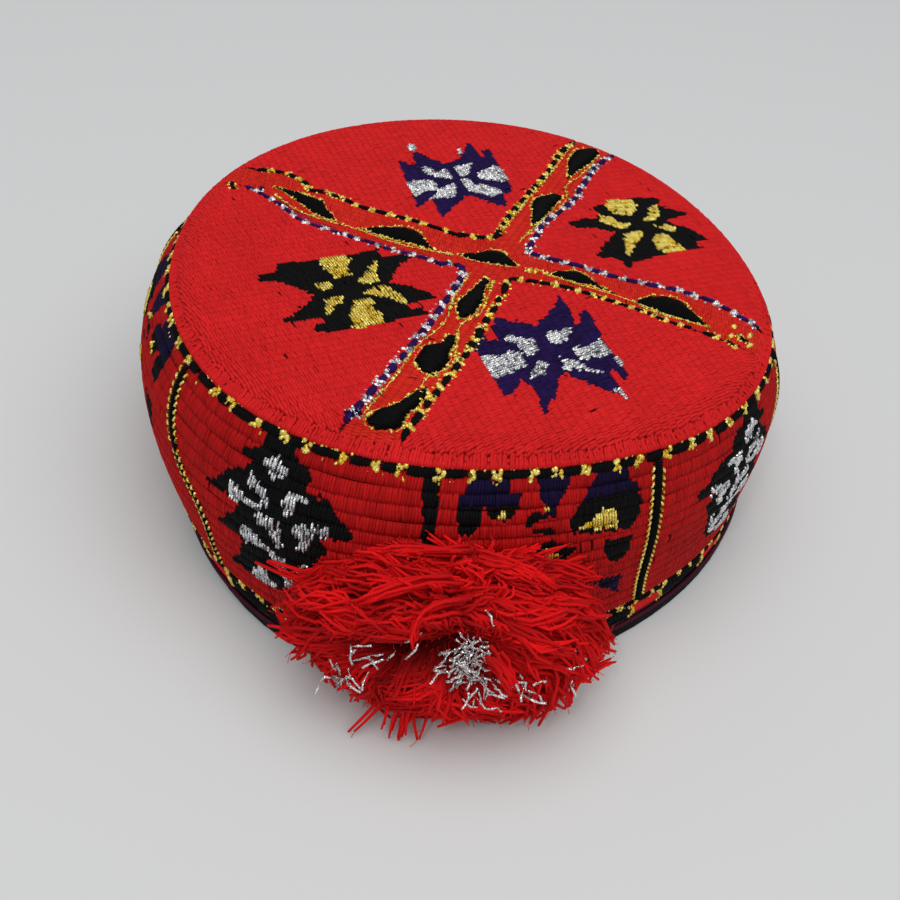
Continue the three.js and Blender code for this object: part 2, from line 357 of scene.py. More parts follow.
LINE_PITCH = 0.62  # from stitch to stitch of a line
WIRE_PITCH = 0.7
BEAD_SHARE = 0.16  # of a line's stitches that have a bead beside them
BEAD_RADIUS = 0.36
KNOT_SHARE = 0.3  # of a metal thread's points that have a couching knot
LINE_HEIGHTS = (0.45, 0.8)  # of a dashed line at its edges, and the rise from them to its middle
LINE_THREAD = (0.5, 0.25)  # half of a stitch's width and thickness
SATIN_THREAD = (0.4, 0.3)
COUCHING_THREAD = (0.36, 0.32)
PAST_EDGE = 0.15  # from a line's edge to the metal beside it
BLOCK_KINDS = 97  # blocks that differ in fullness before they repeat
BLOCK_FULLNESS = (0.75, 1.12)
BLOCK_SHIFT = 0.16  # how far blocks lie beside their line
BLOCK_TAPER = 0.45  # how much narrower a block is at its ends
UNEVEN_BLOCKS = (0.16, 0.39, 0.113)  # share of the period, and the turns of two waves for each millimetre


def shifted(points, direction, forward, sideways):
    """Points of a chart moved along their route's direction and across it."""
    side = np.stack([-direction[:, 1], direction[:, 0]], -1)
    a = points[:, :1] + direction[:, :1] * forward + side[:, :1] * sideways
    b = points[:, 1:] + direction[:, 1:] * forward + side[:, 1:] * sideways
    return a, b


def metal_knots(piece, surface, points, direction, count, reach, length, height=1.0, radius=0.6):
    """Heaps of short metal loops that stand up at points of a route. reach: along it and across it."""
    points, direction = np.repeat(points, count, axis=0), np.repeat(direction, count, axis=0)
    forward = random.uniform(-1, 1, (len(points), 1)) * reach[0]
    sideways = np.tile(np.linspace(-1, 1, count), len(points) // count)[:, None] * reach[1]
    sideways = sideways + random.normal(0, 0.2, sideways.shape)
    heading = random.uniform(-0.9, 0.9, (len(points), 1))
    t = np.linspace(-1, 1, 4)
    a, b = shifted(
        points, direction, forward + np.sin(heading) * length * t, sideways + np.cos(heading) * length * t)
    out = height * (0.25 + 0.75 * crowned(t)) + random.normal(0, 0.1, forward.shape)
    add_on_surface(piece, surface, a, b, out, radius, radius * 0.9, sides=5)


def beaded_edge(piece, surface, points, direction, away, reach, length, height):
    """Single metal loops a distance away from the middle of a line."""
    edge = np.concatenate(shifted(points, direction, 0, away), axis=1)
    metal_knots(piece, surface, edge, direction, 1, reach, length, height, BEAD_RADIUS)


def dashed_line(prefix, surface, route, dash, gap, width, block, metal, start=0.0, knots=5):
    """A couched line: satin blocks of one colour, heaps of metal loops in the gaps between them, and metal
    beads here and there along both of its sides."""
    points, direction, length = smooth_route(route, LINE_PITCH)
    period = dash + gap
    share, quick, slow = UNEVEN_BLOCKS
    stray = share * period * np.sin(length * quick + start) * np.sin(length * slow)
    travel = length + start + stray
    phase = travel % period
    number = (travel // period).astype(int) % BLOCK_KINDS
    swing = np.abs(2 * phase / dash - 1)
    rows = phase < dash
    fullness = random.uniform(*BLOCK_FULLNESS, BLOCK_KINDS)[number]
    offset = random.normal(0, BLOCK_SHIFT, BLOCK_KINDS)[number]
    half = width / 2 * (1 - BLOCK_TAPER * swing ** 4) * fullness + random.normal(0, 0.1, len(length))
    t = np.linspace(-1, 1, THREAD_STATIONS)
    a, b = shifted(points[rows], direction[rows], 0.5 * t, half[rows, None] * t + offset[rows, None])
    out = np.broadcast_to(LINE_HEIGHTS[0] + LINE_HEIGHTS[1] * crowned(t), a.shape)
    add_on_surface(f"{prefix}_{block}_lines", surface, a, b, out, *LINE_THREAD)
    middles = np.flatnonzero(np.diff(((travel + gap / 2) // period).astype(int)) > 0)
    metal_knots(
        f"{prefix}_{metal}_lines", surface, points[middles], direction[middles], knots,
        (gap * 0.48, width * 0.32), 0.5)
    for side in (-1, 1):
        beads = np.flatnonzero(random.random(len(points)) < BEAD_SHARE)
        away = side * (width / 2 + PAST_EDGE)
        beaded_edge(
            f"{prefix}_{metal}_lines", surface, points[beads], direction[beads], away, (0.3, 0.1), 0.4, 0.8)


# The crown, on a chart in the cross's directions: x along its lower right arm, y along its upper right one
CROSS_MIDDLE = (6.34, -0.59)
CROSS_TURN = -18.1  # degrees from the frame's X to the chart's x
CHART = 0.975  # millimetres for each unit of the cross's chart

UPPER_RIGHT = [
    (12, 83.5), (10.4, 77), (9.3, 71), (9.5, 62), (9.5, 54.4), (10.1, 47.5), (8.5, 38), (6.5, 28.4),
    (6.3, 21.6), (6.8, 13), (7.5, 8.4)]
LOWER_RIGHT_TOP = [
    (15.4, 8.6), (24, 9.9), (35, 10.5), (44, 12.3), (52, 14.3), (58, 14.8), (65, 14.6), (71, 13.1),
    (77, 11.2), (80, 10)]
UPPER_LEFT_SIDE = [(-3, 84), (-4.4, 74), (-4, 60), (-3.9, 48), (-4.7, 34), (-5.1, 22), (-5.1, 10)]
UPPER_LEFT_TOP = [
    (-15.7, 5.2), (-31, 4.8), (-38, 4.1), (-48, 3.3), (-53, 4.2), (-62, 4.7), (-66, 3.6), (-71, 7.2),
    (-79, 8.3), (-86, 5.6)]
LOWER_LEFT_TOP = [
    (-84, -5.5), (-79.3, -6.3), (-71, -8.8), (-60, -13.6), (-46, -13.8), (-31, -13.6), (-20, -12.4),
    (-13.6, -12.6)]
LOWER_LEFT_SIDE = [
    (-9.6, -9.8), (-6.5, -12), (-5.2, -18), (-4.9, -34), (-5, -52), (-6, -66), (-6.4, -80), (-7.4, -88)]
BOTTOM_SIDE = [(8, -86), (8.6, -70), (9.3, -55), (9.5, -42), (8.8, -30), (8.4, -17), (7.8, -8.6)]
BOTTOM_TOP = [(16.4, -5), (25, -3), (33, -2.5)]
BOTTOM_WORN = [(33, -2.5), (45, -2.1), (57, -2.6), (63, -2.2)]  # only a thin broken line is left here
BOTTOM_END = [(66.6, -2.2), (69, -2.1), (71.5, -2.4)]
BORDERS = {
    "right": UPPER_RIGHT + LOWER_RIGHT_TOP,
    "top": UPPER_LEFT_SIDE + UPPER_LEFT_TOP,
    "left": LOWER_LEFT_TOP + LOWER_LEFT_SIDE,
    "bottom": BOTTOM_SIDE + BOTTOM_TOP + BOTTOM_WORN[1:] + BOTTOM_END,
}
BORDER_CLEAR = 0.5  # from a border's middle to the ground's stitches
BORDER_DASH = 3.3
BORDER_GAP = 2.6
BORDER_LINES = [  # route, dash, gap, width, thread of the blocks, metal
    (UPPER_RIGHT + LOWER_RIGHT_TOP[:1], BORDER_DASH, BORDER_GAP, 2.4, "purple", "silver"),
    (LOWER_RIGHT_TOP, BORDER_DASH, BORDER_GAP, 2.1, "purple", "silver"),
    (UPPER_LEFT_SIDE + UPPER_LEFT_TOP[:1], BORDER_DASH, BORDER_GAP, 2.4, "black", "gold"),
    (UPPER_LEFT_TOP, BORDER_DASH, BORDER_GAP, 1.9, "black", "gold"),
    (LOWER_LEFT_TOP, BORDER_DASH, BORDER_GAP, 1.6, "purple", "silver"),
    (LOWER_LEFT_TOP[-1:] + LOWER_LEFT_SIDE, BORDER_DASH, BORDER_GAP, 2.5, "purple", "silver"),
    (BOTTOM_SIDE + BOTTOM_TOP[:1], BORDER_DASH, BORDER_GAP, 2.6, "black", "gold"),
    (BOTTOM_TOP, BORDER_DASH, BORDER_GAP, 2.2, "black", "gold"),
    (BOTTOM_WORN, 2.4, 1.5, 1.2, "black", "gold"),
    (BOTTOM_END, 3.6, 2.3, 2.2, "black", "gold"),
]
FAR_CORNERS = {"right": (120, 120), "top": (-120, 120), "left": (-120, -120), "bottom": (120, -120)}
FAR_ENDS = {
    "right": ((9, 120), (120, 5)), "top": ((-4, 120), (-120, 5)),
    "left": ((-120, -6), (-5, -120)), "bottom": ((10, -120), (120, -4)),
}

# Each star: a chart of v to the right and u outward from the cross's middle
STARS = {
    "left": {
        "thread": "black", "metal": "gold",
        "outline": [
            (-21, 63), (-18, 62), (-17, 59), (-15.5, 59), (-15.5, 66.5), (-13.8, 70), (-11, 65), (-8, 61),
            (-4.7, 58.3), (0, 62), (4, 66.5), (5, 71), (8.3, 70.5), (8, 65.5), (12, 64), (11.3, 54),
            (11.3, 42), (12.6, 33), (10.5, 34), (8, 33), (7.5, 26), (6, 25), (3, 30), (-2, 34),
            (-4.5, 35.7), (-7, 30.5), (-14.2, 24.8), (-15, 34), (-17, 34.5), (-18, 30.3), (-20.6, 30.3),
            (-21.3, 42), (-21.6, 56)],
        "patches": [
            [(-22.3, 52), (-16, 51.5), (-10.3, 48), (-10.3, 43.3), (-14, 44), (-17, 42.5), (-21.5, 43.5)],
            [(-16, 57.3), (-10.5, 57), (-7, 54.5), (-7.5, 50), (-10, 51.5), (-11, 54.5)],
            [(-4, 54), (-2, 57), (-0.4, 57), (0.3, 52), (-2, 51.8)],
            [(1, 49.5), (4, 51.3), (9, 52.5), (11.5, 51), (11.5, 44), (9, 42.5), (6, 44.8), (1.5, 45.3)],
            [(-11, 38), (-7.5, 45), (-5.7, 41), (-6, 37), (-13, 33.7), (-15.5, 35)],
            [(-3.7, 41), (-2.3, 44.6), (2, 40.5), (7, 35.4), (2, 37.3), (-2.7, 38)]],
    },
    "bottom": {
        "thread": "navy", "metal": "silver",
        "outline": [
            (-13.5, 59), (-11.5, 60), (-11, 56), (-9, 56), (-8.2, 66), (-3, 61), (1.5, 56.5), (2.7, 53.7),
            (6, 55), (10, 61.5), (13.5, 63.5), (14.5, 67), (16.3, 66.5), (14.5, 61), (15, 52.5),
            (18.5, 55), (20.5, 57.7), (23.3, 57.5), (23.5, 50), (22.5, 42), (23.8, 39.5), (21, 34),
            (20, 30.5), (18.5, 31), (18.5, 36), (15, 36), (15, 30), (12, 26.5), (9, 29), (5, 31),
            (2.5, 33), (-2, 30), (-7, 26), (-10.6, 21.7), (-10, 30), (-9, 35), (-11, 34.5), (-13, 30.3),
            (-15.5, 30.3), (-14.5, 38), (-13.3, 45), (-13.5, 52)],
        "patches": [
            [(-13.5, 49.5), (-3, 50), (-3, 44), (-9, 45), (-12.5, 42.8)],
            [(-14.5, 54.5), (-13, 54.8), (-13.2, 51), (-14.5, 51)],
            [(-8, 56.3), (-5, 56), (0, 52.5), (3, 53), (2.5, 47.3), (0.5, 48), (-2, 49.5), (-3.5, 53)],
            [(6.5, 49), (9, 52.7), (14.5, 53.7), (11.5, 50), (8.5, 47.3)],
            [(12, 47.5), (16, 49.3), (23.3, 51), (23.6, 42), (21, 41), (18, 42.5), (14, 41.5), (11.5, 43)],
            [(-8, 35.5), (-3, 41.5), (1.5, 41), (2, 37), (-4, 36.5)],
            [(5.5, 38), (6.5, 43), (10.5, 45), (11, 40), (14, 36.8), (11.5, 34.8), (8.5, 37.3)],
            [(-9, 67), (-7.7, 66.7), (-6.5, 63), (-8.5, 63)]],
    },
    "right": {
        "thread": "black", "metal": "gold",
        "outline": [
            (-21, 67.5), (-18.5, 67.5), (-17, 65.5), (-13, 69.5), (-11.3, 73), (-9.8, 72), (-8.3, 64.5),
            (-6, 65), (-1.5, 69.5), (4.5, 71.7), (5, 67), (7.3, 66), (8.7, 68.5), (8.7, 60), (9.6, 50),
            (11.5, 41.5), (13.7, 37.3), (10.5, 38.3), (7.5, 36), (7.5, 31.5), (5.5, 31), (1.5, 35),
            (-1, 38.5), (-5, 43.5), (-8.5, 38), (-9.7, 32.5), (-13, 30), (-14.3, 36), (-13.5, 41),
            (-17, 43), (-19, 41.5), (-20.5, 45), (-21.6, 52), (-22.3, 61)],
        "patches": [
            [(-21.5, 58.5), (-18, 58), (-12, 53), (-15, 48), (-20.5, 47.3), (-22.5, 50)],
            [(-17, 65.3), (-11, 62.7), (-8.5, 60), (-9, 55.5), (-12, 59.3), (-15.5, 62)],
            [(-6, 62), (-3, 65), (-1, 62.5), (-3, 60), (-6.5, 57.5), (-4.7, 60)],
            [(-1.5, 59), (3, 60), (8.6, 61.5), (9, 52.5), (6, 52), (1, 53)],
            [(-15.3, 42), (-11.5, 41), (-6.3, 46), (-8, 51.5), (-9.5, 47), (-13.5, 45.5)],
            [(-4.3, 51), (-2.5, 52.5), (2, 47), (8.5, 41), (5.5, 40.7), (1, 44), (-3.3, 45.5)]],
    },
    "top": {
        "thread": "navy", "metal": "silver",
        "outline": [
            (-9.5, 58.5), (-7.5, 58.8), (-6.5, 55.5), (-4.5, 57), (-3.3, 63.5), (-1, 64), (1.5, 59),
            (5, 54.5), (8, 55), (12, 57.5), (15, 61), (17.5, 65.5), (19.6, 66), (19, 57), (20.3, 56.5),
            (21.3, 61), (23.8, 60.5), (23.3, 52), (21.5, 45), (21.3, 36), (20, 32.5), (17.5, 33.5),
            (15.8, 31), (15.5, 26.5), (12.5, 27), (9.5, 30.5), (6.5, 34), (4.3, 34.7), (1.5, 32),
            (-3, 28), (-7.8, 23.5), (-7.8, 29), (-7, 34), (-9.5, 34.5), (-11.5, 32), (-13.3, 31.5),
            (-12.5, 38), (-11.3, 46), (-10.5, 54)],
        "patches": [
            [(-11.8, 46), (-4.5, 46), (-2.7, 43.5), (-3, 38.5), (-7, 39.7), (-12.3, 36.5)],
            [(-4.3, 50), (-3, 53.5), (-1, 53), (0.5, 50), (3.7, 51.5), (4.3, 45.3), (1.5, 45.3),
             (-1, 47.3)],
            [(6.8, 46), (7.3, 51), (9.5, 52.7), (14.5, 53.3), (12.5, 50.5), (10, 46)],
            [(12.3, 42), (14, 47), (21.5, 50), (23, 47), (22, 40), (19, 40), (14.5, 43)],
            [(-8.6, 33), (-7.3, 36), (-4.5, 34.5), (0.5, 34), (3, 39.5), (3, 42.3), (0.5, 41.5),
             (-3, 39.5)],
            [(6, 37), (6.5, 43.5), (8.5, 44.5), (10, 40), (12.5, 39.5), (17.5, 34.5), (13, 31.5),
             (10.5, 34)],
            [(-3.5, 64), (-2.6, 69), (-0.5, 68.5), (-0.8, 64.5)],
            [(12.3, 60), (13.7, 64), (14.5, 62.5), (13, 59.5)]],
    },
}
BEARINGS = {"right": 26.9, "top": 116.9, "left": 206.9, "bottom": 296.9}  # degrees, of each quarter's middle

# The black leaves on the cross's arms, in the cross's chart
LEAVES = [
    [(3.5, 58), (1.5, 64), (-0.8, 72), (-0.5, 80), (3, 83.5), (7.4, 83), (7.2, 74), (5.2, 66)],
    [(3.4, 22.5), (1.5, 27), (0.4, 31), (-1.6, 35), (-1.6, 40.5), (1.5, 45), (6, 46), (5.6, 38), (5, 30)],
    [(15.2, 0.1), (19.5, 4), (23.4, 7.2), (28.1, 6), (31.9, 3.8), (37.3, 2.1), (28.9, 1.9), (22.6, 0.2)],
    [(44.4, 1), (46.5, 6.2), (51, 9.7), (56.3, 10.3), (60.9, 6.5), (66.7, 2), (60.5, 0.8), (53.1, -0.1),
     (47.6, 0.2)],
    [(-11.5, -4.8), (-6.5, -1.2), (-3.5, 3.2), (0.5, 4.2), (4, 1.8), (7.2, -0.6), (2, -3.2), (-6, -5)],
    [(-42, -7.7), (-36, -2.5), (-31, 0.6), (-26, 0.2), (-22, -3.8), (-18, -6.6), (-25, -7.4), (-34, -8.2)],
    [(-77, -0.6), (-66, 0.6), (-60, 0.2), (-57, -3), (-51, -7.8), (-58, -8.2), (-66, -4.6), (-72, -2)],
    [(0.5, -11.5), (2.8, -13), (3, -18), (4.6, -22), (4.6, -30), (2, -34.5), (-0.4, -31), (-2, -27),
     (-0.6, -19)],
    [(1.5, -43), (4.6, -42), (5.6, -49), (7, -55), (5.6, -61), (1, -60.5), (-2, -57), (-2, -50),
     (1.4, -47)],
    [(5.5, -66), (7.4, -70), (6, -78), (6, -84), (1, -87), (-3.2, -85.5), (-2, -80), (1.5, -75),
     (3.5, -69)],
]
LEAF_ALONG_Y = (0, 1, 7, 8, 9)
LEAF_PITCH = 0.6
LEAF_THREAD = (0.6, 0.16)  # the metal thread round a leaf: its height, how far it strays
INNER_THREAD = (0.85, 0.12)
MAROON_STRIP = [
    (-77, -6.3), (-70.7, -6.8), (-58.8, -10.9), (-47.3, -12), (-36.5, -12.1), (-26.3, -11.1), (-17.8, -9.7),
    (-16.9, -11.8), (-32.8, -12.4), (-46, -14.6), (-58.3, -14.7), (-70.6, -9.7)]
TICKS = [  # small marks at the arms' ends: route, width, thread, metal round it
    ([(-8.2, -86), (-6.9, -84.6), (-5.6, -83.2)], 3.4, "navy", "silver"),
    ([(75.6, 2.4), (77.4, 1.2), (79, 1)], 1.8, "black", "gold"),
    ([(73.6, -2.2), (75.2, -3.2), (76.4, -3.4)], 1.6, "black", "gold"),
    ([(-89, -5.8), (-88, -7.4), (-86.6, -9)], 1.6, "black", "gold"),
    ([(-79.1, -5.2), (-79.4, -4.2), (-79.7, -3)], 1.2, "purple", "silver"),
    ([(10.2, -0.9), (11.9, -0.7), (13.6, -0.6)], 0.9, "orange", "gold"),
]
DOTS = [(73.8, 6), (74.1, 0.8), (76.2, 1.6), (79.2, 4.2), (79.9, -0.5), (76.3, -4), (11.2, -0.8), (13, -0.6)]
INNER_LINES = [
    [(3, 12), (4.6, 24), (7.2, 36), (7.4, 46), (4.6, 53), (6.5, 62), (8.2, 74)],
    [(-3, 84), (-2.6, 60), (-3.4, 48), (-3.6, 30), (-3.8, 12)],
    [(3.6, -12), (6, -28), (3.4, -38), (8, -54), (4, -64), (8.4, -76)],
    [(-4, -12), (-3.4, -26), (-1.2, -38), (-3.6, -52), (-3.4, -66), (-4.4, -84)],
    [(12, 1), (24, 0.2), (38, 1.2), (54, 0.4), (68, 1.2)],
    [(-12, -6), (-28, -9.4), (-44, -9), (-62, -9.6), (-74, -5)],
]


def cross_directions():
    turn = math.radians(CROSS_TURN)
    return np.array([math.cos(turn), math.sin(turn)]), np.array([-math.sin(turn), math.cos(turn)])


def from_cross(x, y):
    """A point of the cross's chart on the crown."""
    ex, ey = cross_directions()
    dx, dy = ex[0] * x + ey[0] * y, ex[1] * x + ey[1] * y
    return CROSS_MIDDLE[0] + dx * CHART, CROSS_MIDDLE[1] + dy * CHART


def to_cross(x, y):
    ex, ey = cross_directions()
    dx, dy = (x - CROSS_MIDDLE[0]) / CHART, (y - CROSS_MIDDLE[1]) / CHART
    return ex[0] * dx + ex[1] * dy, ey[0] * dx + ey[1] * dy


def cross_surface(x, y):
    return crown_surface(*from_cross(x, y))


TOP_REACH = 86.0  # where the top's stitches give way to the rim's


def on_crown(x, y):
    return round_radius(x, y) < TOP_REACH


CROWN_RIDGE = 2.4  # width of one padded cord
CROWN_PITCH = 0.8  # from stitch to stitch
CROWN_PARTS = 3
CROWN_ARCH = (0.73, 0.82)
CROWN_SLANT = 0.3  # how far a stitch's ends lie ahead of its middle and behind it
OVERLAP = 1.2  # how far past its cord's edges a stitch on the top reaches
GRID_REACH = 98.0  # from the cross's middle, past the farthest edge of the top
STITCH_WIDTH = 0.95  # half of a flat stitch, as a share of the pitch


def border_ground(name):
    """A quarter's ground on the cross's chart, and the line that parts it from the arms."""
    start, end = FAR_ENDS[name]
    line = [start] + BORDERS[name] + [end]
    return line + [FAR_CORNERS[name]], line


def ridge_grid(reach, ridge, pitch):
    """Stitch middles on cords side by side: across the cords and along them, as flat arrays."""
    across = np.arange(-reach, reach, ridge)
    along = np.arange(-reach, reach, pitch)
    v, u = np.meshgrid(across, along, indexing="ij")
    u = u + random.uniform(0, pitch, len(across))[:, None] + random.normal(0, 0.06, u.shape)
    return v.ravel(), u.ravel()


def star_colours(star, v, u):
    """The thread of each part of a stitch on a quarter: its star's, or the ground's red."""
    colours = np.full(v.shape, "red", "<U8")
    ragged = u + random.normal(0, 0.35, v.shape)
    colours[inside(star["outline"], v, ragged)] = star["thread"]
    for patch in star["patches"]:
        colours[inside(patch, v, u + random.normal(0, 0.3, v.shape))] = star["metal"]
    return colours


def crown_quarter(name):
    bearing = math.radians(BEARINGS[name])
    outward = np.array([math.cos(bearing), math.sin(bearing)])
    right = np.array([math.sin(bearing), -math.cos(bearing)])
    region, line = border_ground(name)
    v, u = ridge_grid(GRID_REACH, CROWN_RIDGE, CROWN_PITCH)
    vs = v[:, None] + CROWN_RIDGE / 2 * part_middles(CROWN_PARTS)
    us = np.broadcast_to(u[:, None], vs.shape)
    x = CROSS_MIDDLE[0] + right[0] * vs + outward[0] * us
    y = CROSS_MIDDLE[1] + right[1] * vs + outward[1] * us
    chart_x, chart_y = to_cross(x, y)
    clear = distance_to(line, chart_x, chart_y) > BORDER_CLEAR
    shown = inside(region, chart_x, chart_y) & clear & on_crown(x, y)
    colours = star_colours(STARS[name], vs, us)
    colours[~shown] = ""
    keep = (colours != "").any(1)
    middle_x = CROSS_MIDDLE[0] + right[0] * v + outward[0] * u
    middle_y = CROSS_MIDDLE[1] + right[1] * v + outward[1] * u
    lay_stitches(
        "crown", crown_surface, middle_x[keep], middle_y[keep], right * CROWN_RIDGE / 2 * OVERLAP,
        colours[keep], CROWN_ARCH, CROWN_SLANT, CROWN_PITCH * STITCH_WIDTH)


ARM_RIDGE = 2.1
ARM_ARCH = (0.5, 0.68)
ARM_SLANT = 0.25
ARM_HALF = 19.0


def cross_arms():
    """The ground of the two crossing bands: cords along each arm, clear of the leaves."""
    quarters = [border_ground(name) for name in BORDERS]
    for along_x in (True, False):
        v, u = ridge_grid(GRID_REACH, ARM_RIDGE, CROWN_PITCH)
        near = np.abs(v) < ARM_HALF
        v, u = v[near], u[near]
        vs = v[:, None] + ARM_RIDGE / 2 * part_middles(CROWN_PARTS)
        us = np.broadcast_to(u[:, None], vs.shape)
        x, y = (us, vs) if along_x else (vs, us)
        band = np.abs(x) >= np.abs(y) if along_x else np.abs(x) < np.abs(y)
        shown = band & on_crown(*from_cross(x, y))
        for region, line in quarters:
            shown &= ~inside(region, x, y) & (distance_to(line, x, y) > BORDER_CLEAR)
        for leaf in LEAVES:
            shown &= ~inside(leaf, x, y)
        colours = np.where(inside(MAROON_STRIP, x, y), "maroon", "orange").astype("<U8")
        colours[~shown] = ""
        keep = shown.any(1)
        across = np.array([0, ARM_RIDGE / 2]) if along_x else np.array([ARM_RIDGE / 2, 0])
        a, b = (u[keep], v[keep]) if along_x else (v[keep], u[keep])
        lay_stitches(
            "crown", cross_surface, a, b, across * OVERLAP, colours[keep], ARM_ARCH, ARM_SLANT,
            CROWN_PITCH * STITCH_WIDTH)


def leaf_stitches():
    """Satin leaves, each stitch from one edge of the leaf to the other, with a metal thread round them."""
    t = np.linspace(-1, 1, THREAD_STATIONS)
    for number, leaf in enumerate(LEAVES):
        outline = np.array(leaf, float)
        lengthwise = 1 if number in LEAF_ALONG_Y else 0
        at = np.arange(outline[:, lengthwise].min() + 0.2, outline[:, lengthwise].max() - 0.1, LEAF_PITCH)
        low, high = np.array([leaf_extent(outline, lengthwise, place) for place in at]).T
        low = low + random.normal(0, 0.16, len(at))
        high = high + random.normal(0, 0.3, len(at))
        middle, half = (low + high) / 2, np.maximum((high - low) / 2, 0.3)
        crosswise = middle[:, None] + half[:, None] * t
        lengths = at[:, None] + 0.3 * t + 0 * crosswise
        a, b = (crosswise, lengths) if lengthwise == 1 else (lengths, crosswise)
        out = 0.1 + np.minimum(1.25, 0.5 + 0.4 * half)[:, None] * crowned(t, 4)
        add_on_surface("crown_black_leaves", cross_surface, a, b, out, *SATIN_THREAD)
        ring = np.concatenate([outline, outline[:1]])
        metal_thread("crown_gold_lines", cross_surface, ring, *LEAF_THREAD)


def ticks():
    """Small satin marks with a metal thread round each."""
    t = np.linspace(-1, 1, THREAD_STATIONS)
    for route, width, thread, metal in TICKS:
        points, direction, _ = smooth_route(route, LINE_PITCH)
        a, b = shifted(points, direction, 0, width / 2 * t[None])
        out = np.broadcast_to(0.4 + 0.8 * crowned(t), a.shape)
        add_on_surface(f"crown_{thread}_leaves", cross_surface, a, b, out, 0.4, 0.28)
        middles = np.arange(0, len(points), 2)
        for side in (-1, 1):
            beaded_edge(
                f"crown_{metal}_lines", cross_surface, points[middles], direction[middles], side * width / 2,
                (0.4, 0.1), 0.5, 0.9)


def dots():
    """Heaps of gold loops at the end of an arm."""
    direction = np.tile([1.0, 0.0], (len(DOTS), 1))
    metal_knots("crown_gold_lines", cross_surface, np.array(DOTS, float), direction, 3, (0.4, 0.4), 0.6)


def leaf_extent(outline, lengthwise, place):
    """The lowest and highest edge of an outline at a place along it."""
    found = []
    for p, q in zip(outline, np.roll(outline, -1, axis=0)):
        if (p[lengthwise] > place) != (q[lengthwise] > place):
            share = (place - p[lengthwise]) / (q[lengthwise] - p[lengthwise])
            found.append(p[1 - lengthwise] + share * (q - p)[1 - lengthwise])
    return min(found), max(found)


def metal_thread(piece, surface, route, height, wobble, radius=0.17):
    """A single metal thread couched along a route, with a small knot where each couching stitch holds it."""
    points, direction, _ = smooth_route(route, WIRE_PITCH)
    a, b = shifted(points, direction, 0, random.normal(0, wobble, (len(points), 1)))
    out = height + random.normal(0, 0.08, len(points))
    add_on_surface(piece, surface, a.T, b.T, out[None], radius, radius, sides=4)
    knots = np.flatnonzero(random.random(len(points)) < KNOT_SHARE)
    t = np.linspace(-1, 1, 4)
    slope = random.uniform(-0.4, 0.4, (len(knots), 1))
    a, b = shifted(points[knots], direction[knots], slope * t, 0.5 * t[None])
    out = np.broadcast_to(height + 0.35 * (1 - t ** 2), a.shape)
    add_on_surface(piece, surface, a, b, out, *COUCHING_THREAD, sides=4)


def crown():
    for name in BORDERS:
        crown_quarter(name)
    cross_arms()
    leaf_stitches()
    for border, dash, gap, width, block, metal in BORDER_LINES:
        dashed_line("crown", cross_surface, border, dash, gap, width, block, metal)
    for line in INNER_LINES:
        metal_thread("crown_gold_lines", cross_surface, line, *INNER_THREAD)
    ticks()
    dots()


# The rim: a piping above the seam, and overcast stitches from it up to the edge of the top
RIM_PITCH = 0.8
PIPING = (0.2, 0.075, 1.0)  # the piping cord's middle and width as shares of the rim's face, and its height
OVERCAST = (0.1, 0.17, 0.24, 0.31, 0.42, 0.5)  # places of a stitch's points on the rim's face
PAST_PIPING = 0.35
OVERCAST_REACH = (0.1, 0.09)  # how much farther up the face most stitches reach: mean and spread
OVERCAST_SHORT = 0.06  # the share of stitches that don't
OVERCAST_LEAN = (0.5, 0.15)
OVERCAST_HEIGHT = 0.3
OVERCAST_RISE = 0.42  # how far a stitch rises past the piping
OVERCAST_END = 0.4  # how far its last point sinks into the top


def rim():
    count = int(TURN / RIM_PITCH)
    around = np.arange(count) / count * TURN
    share = np.array(OVERCAST)
    reach = random.normal(*OVERCAST_REACH, count) * (random.random(count) > OVERCAST_SHORT)
    lean = random.normal(*OVERCAST_LEAN, count)[:, None] * np.linspace(0, 1, len(share))
    along = around[:, None] + random.normal(0, 0.08, count)[:, None] + lean
    b = share + reach[:, None] * np.linspace(0, 1, len(share)) ** 2
    middle, width, height = PIPING
    piping = height * np.exp(-((share - middle) / width) ** 2)
    out = OVERCAST_HEIGHT + piping + OVERCAST_RISE * (share > PAST_PIPING)
    out = out + random.normal(0, 0.04, count)[:, None]
    out = out - OVERCAST_END * (np.arange(len(share)) == len(share) - 1)
    add_on_surface("rim_red_overcast", rim_surface, along, b, out, RIM_PITCH * STITCH_WIDTH, 0.2)


# The side band: cords round the hat, with a chart of degrees round it and millimetres up
DEGREE = ROUND * math.pi / 180
ROW_TOP = 65.0
ROW_HEIGHT = 3.7
ROWS = 14
BAND_PITCH = 0.8
BAND_PARTS = 4
BAND_ARCH = (0.6, 0.98)
BAND_SLANT = 0.2
ROW_OVERLAP = 1.03  # how far past its row's edges a stitch reaches
EDGE_STITCH = (0.6, 0.35)  # half of a gold stitch's length along its upright line and across it
EDGE_THREAD = (0.42, 0.38)
UPRIGHT_WIDTH = 3.2
LEANING_WIDTH = 3.0
TAIL_WIDTH = 1.3
PANEL_EDGES = [308.3, 350, 397, 444, 491, 538]  # the couched upright lines, degrees
PANEL_EDGE = [(1.0, 14), (-0.3, 26), (-0.9, 40), (-1.3, 56), (-1.1, 64)]  # degrees from its middle, height
LEANING_LINE = [(219.8, 64), (220.5, 58), (222.3, 51), (224.5, 46)]
LEANING_TAIL = [(224.5, 46), (227.5, 41), (230, 37.8), (232.4, 31), (232.8, 22), (232.8, 14)]

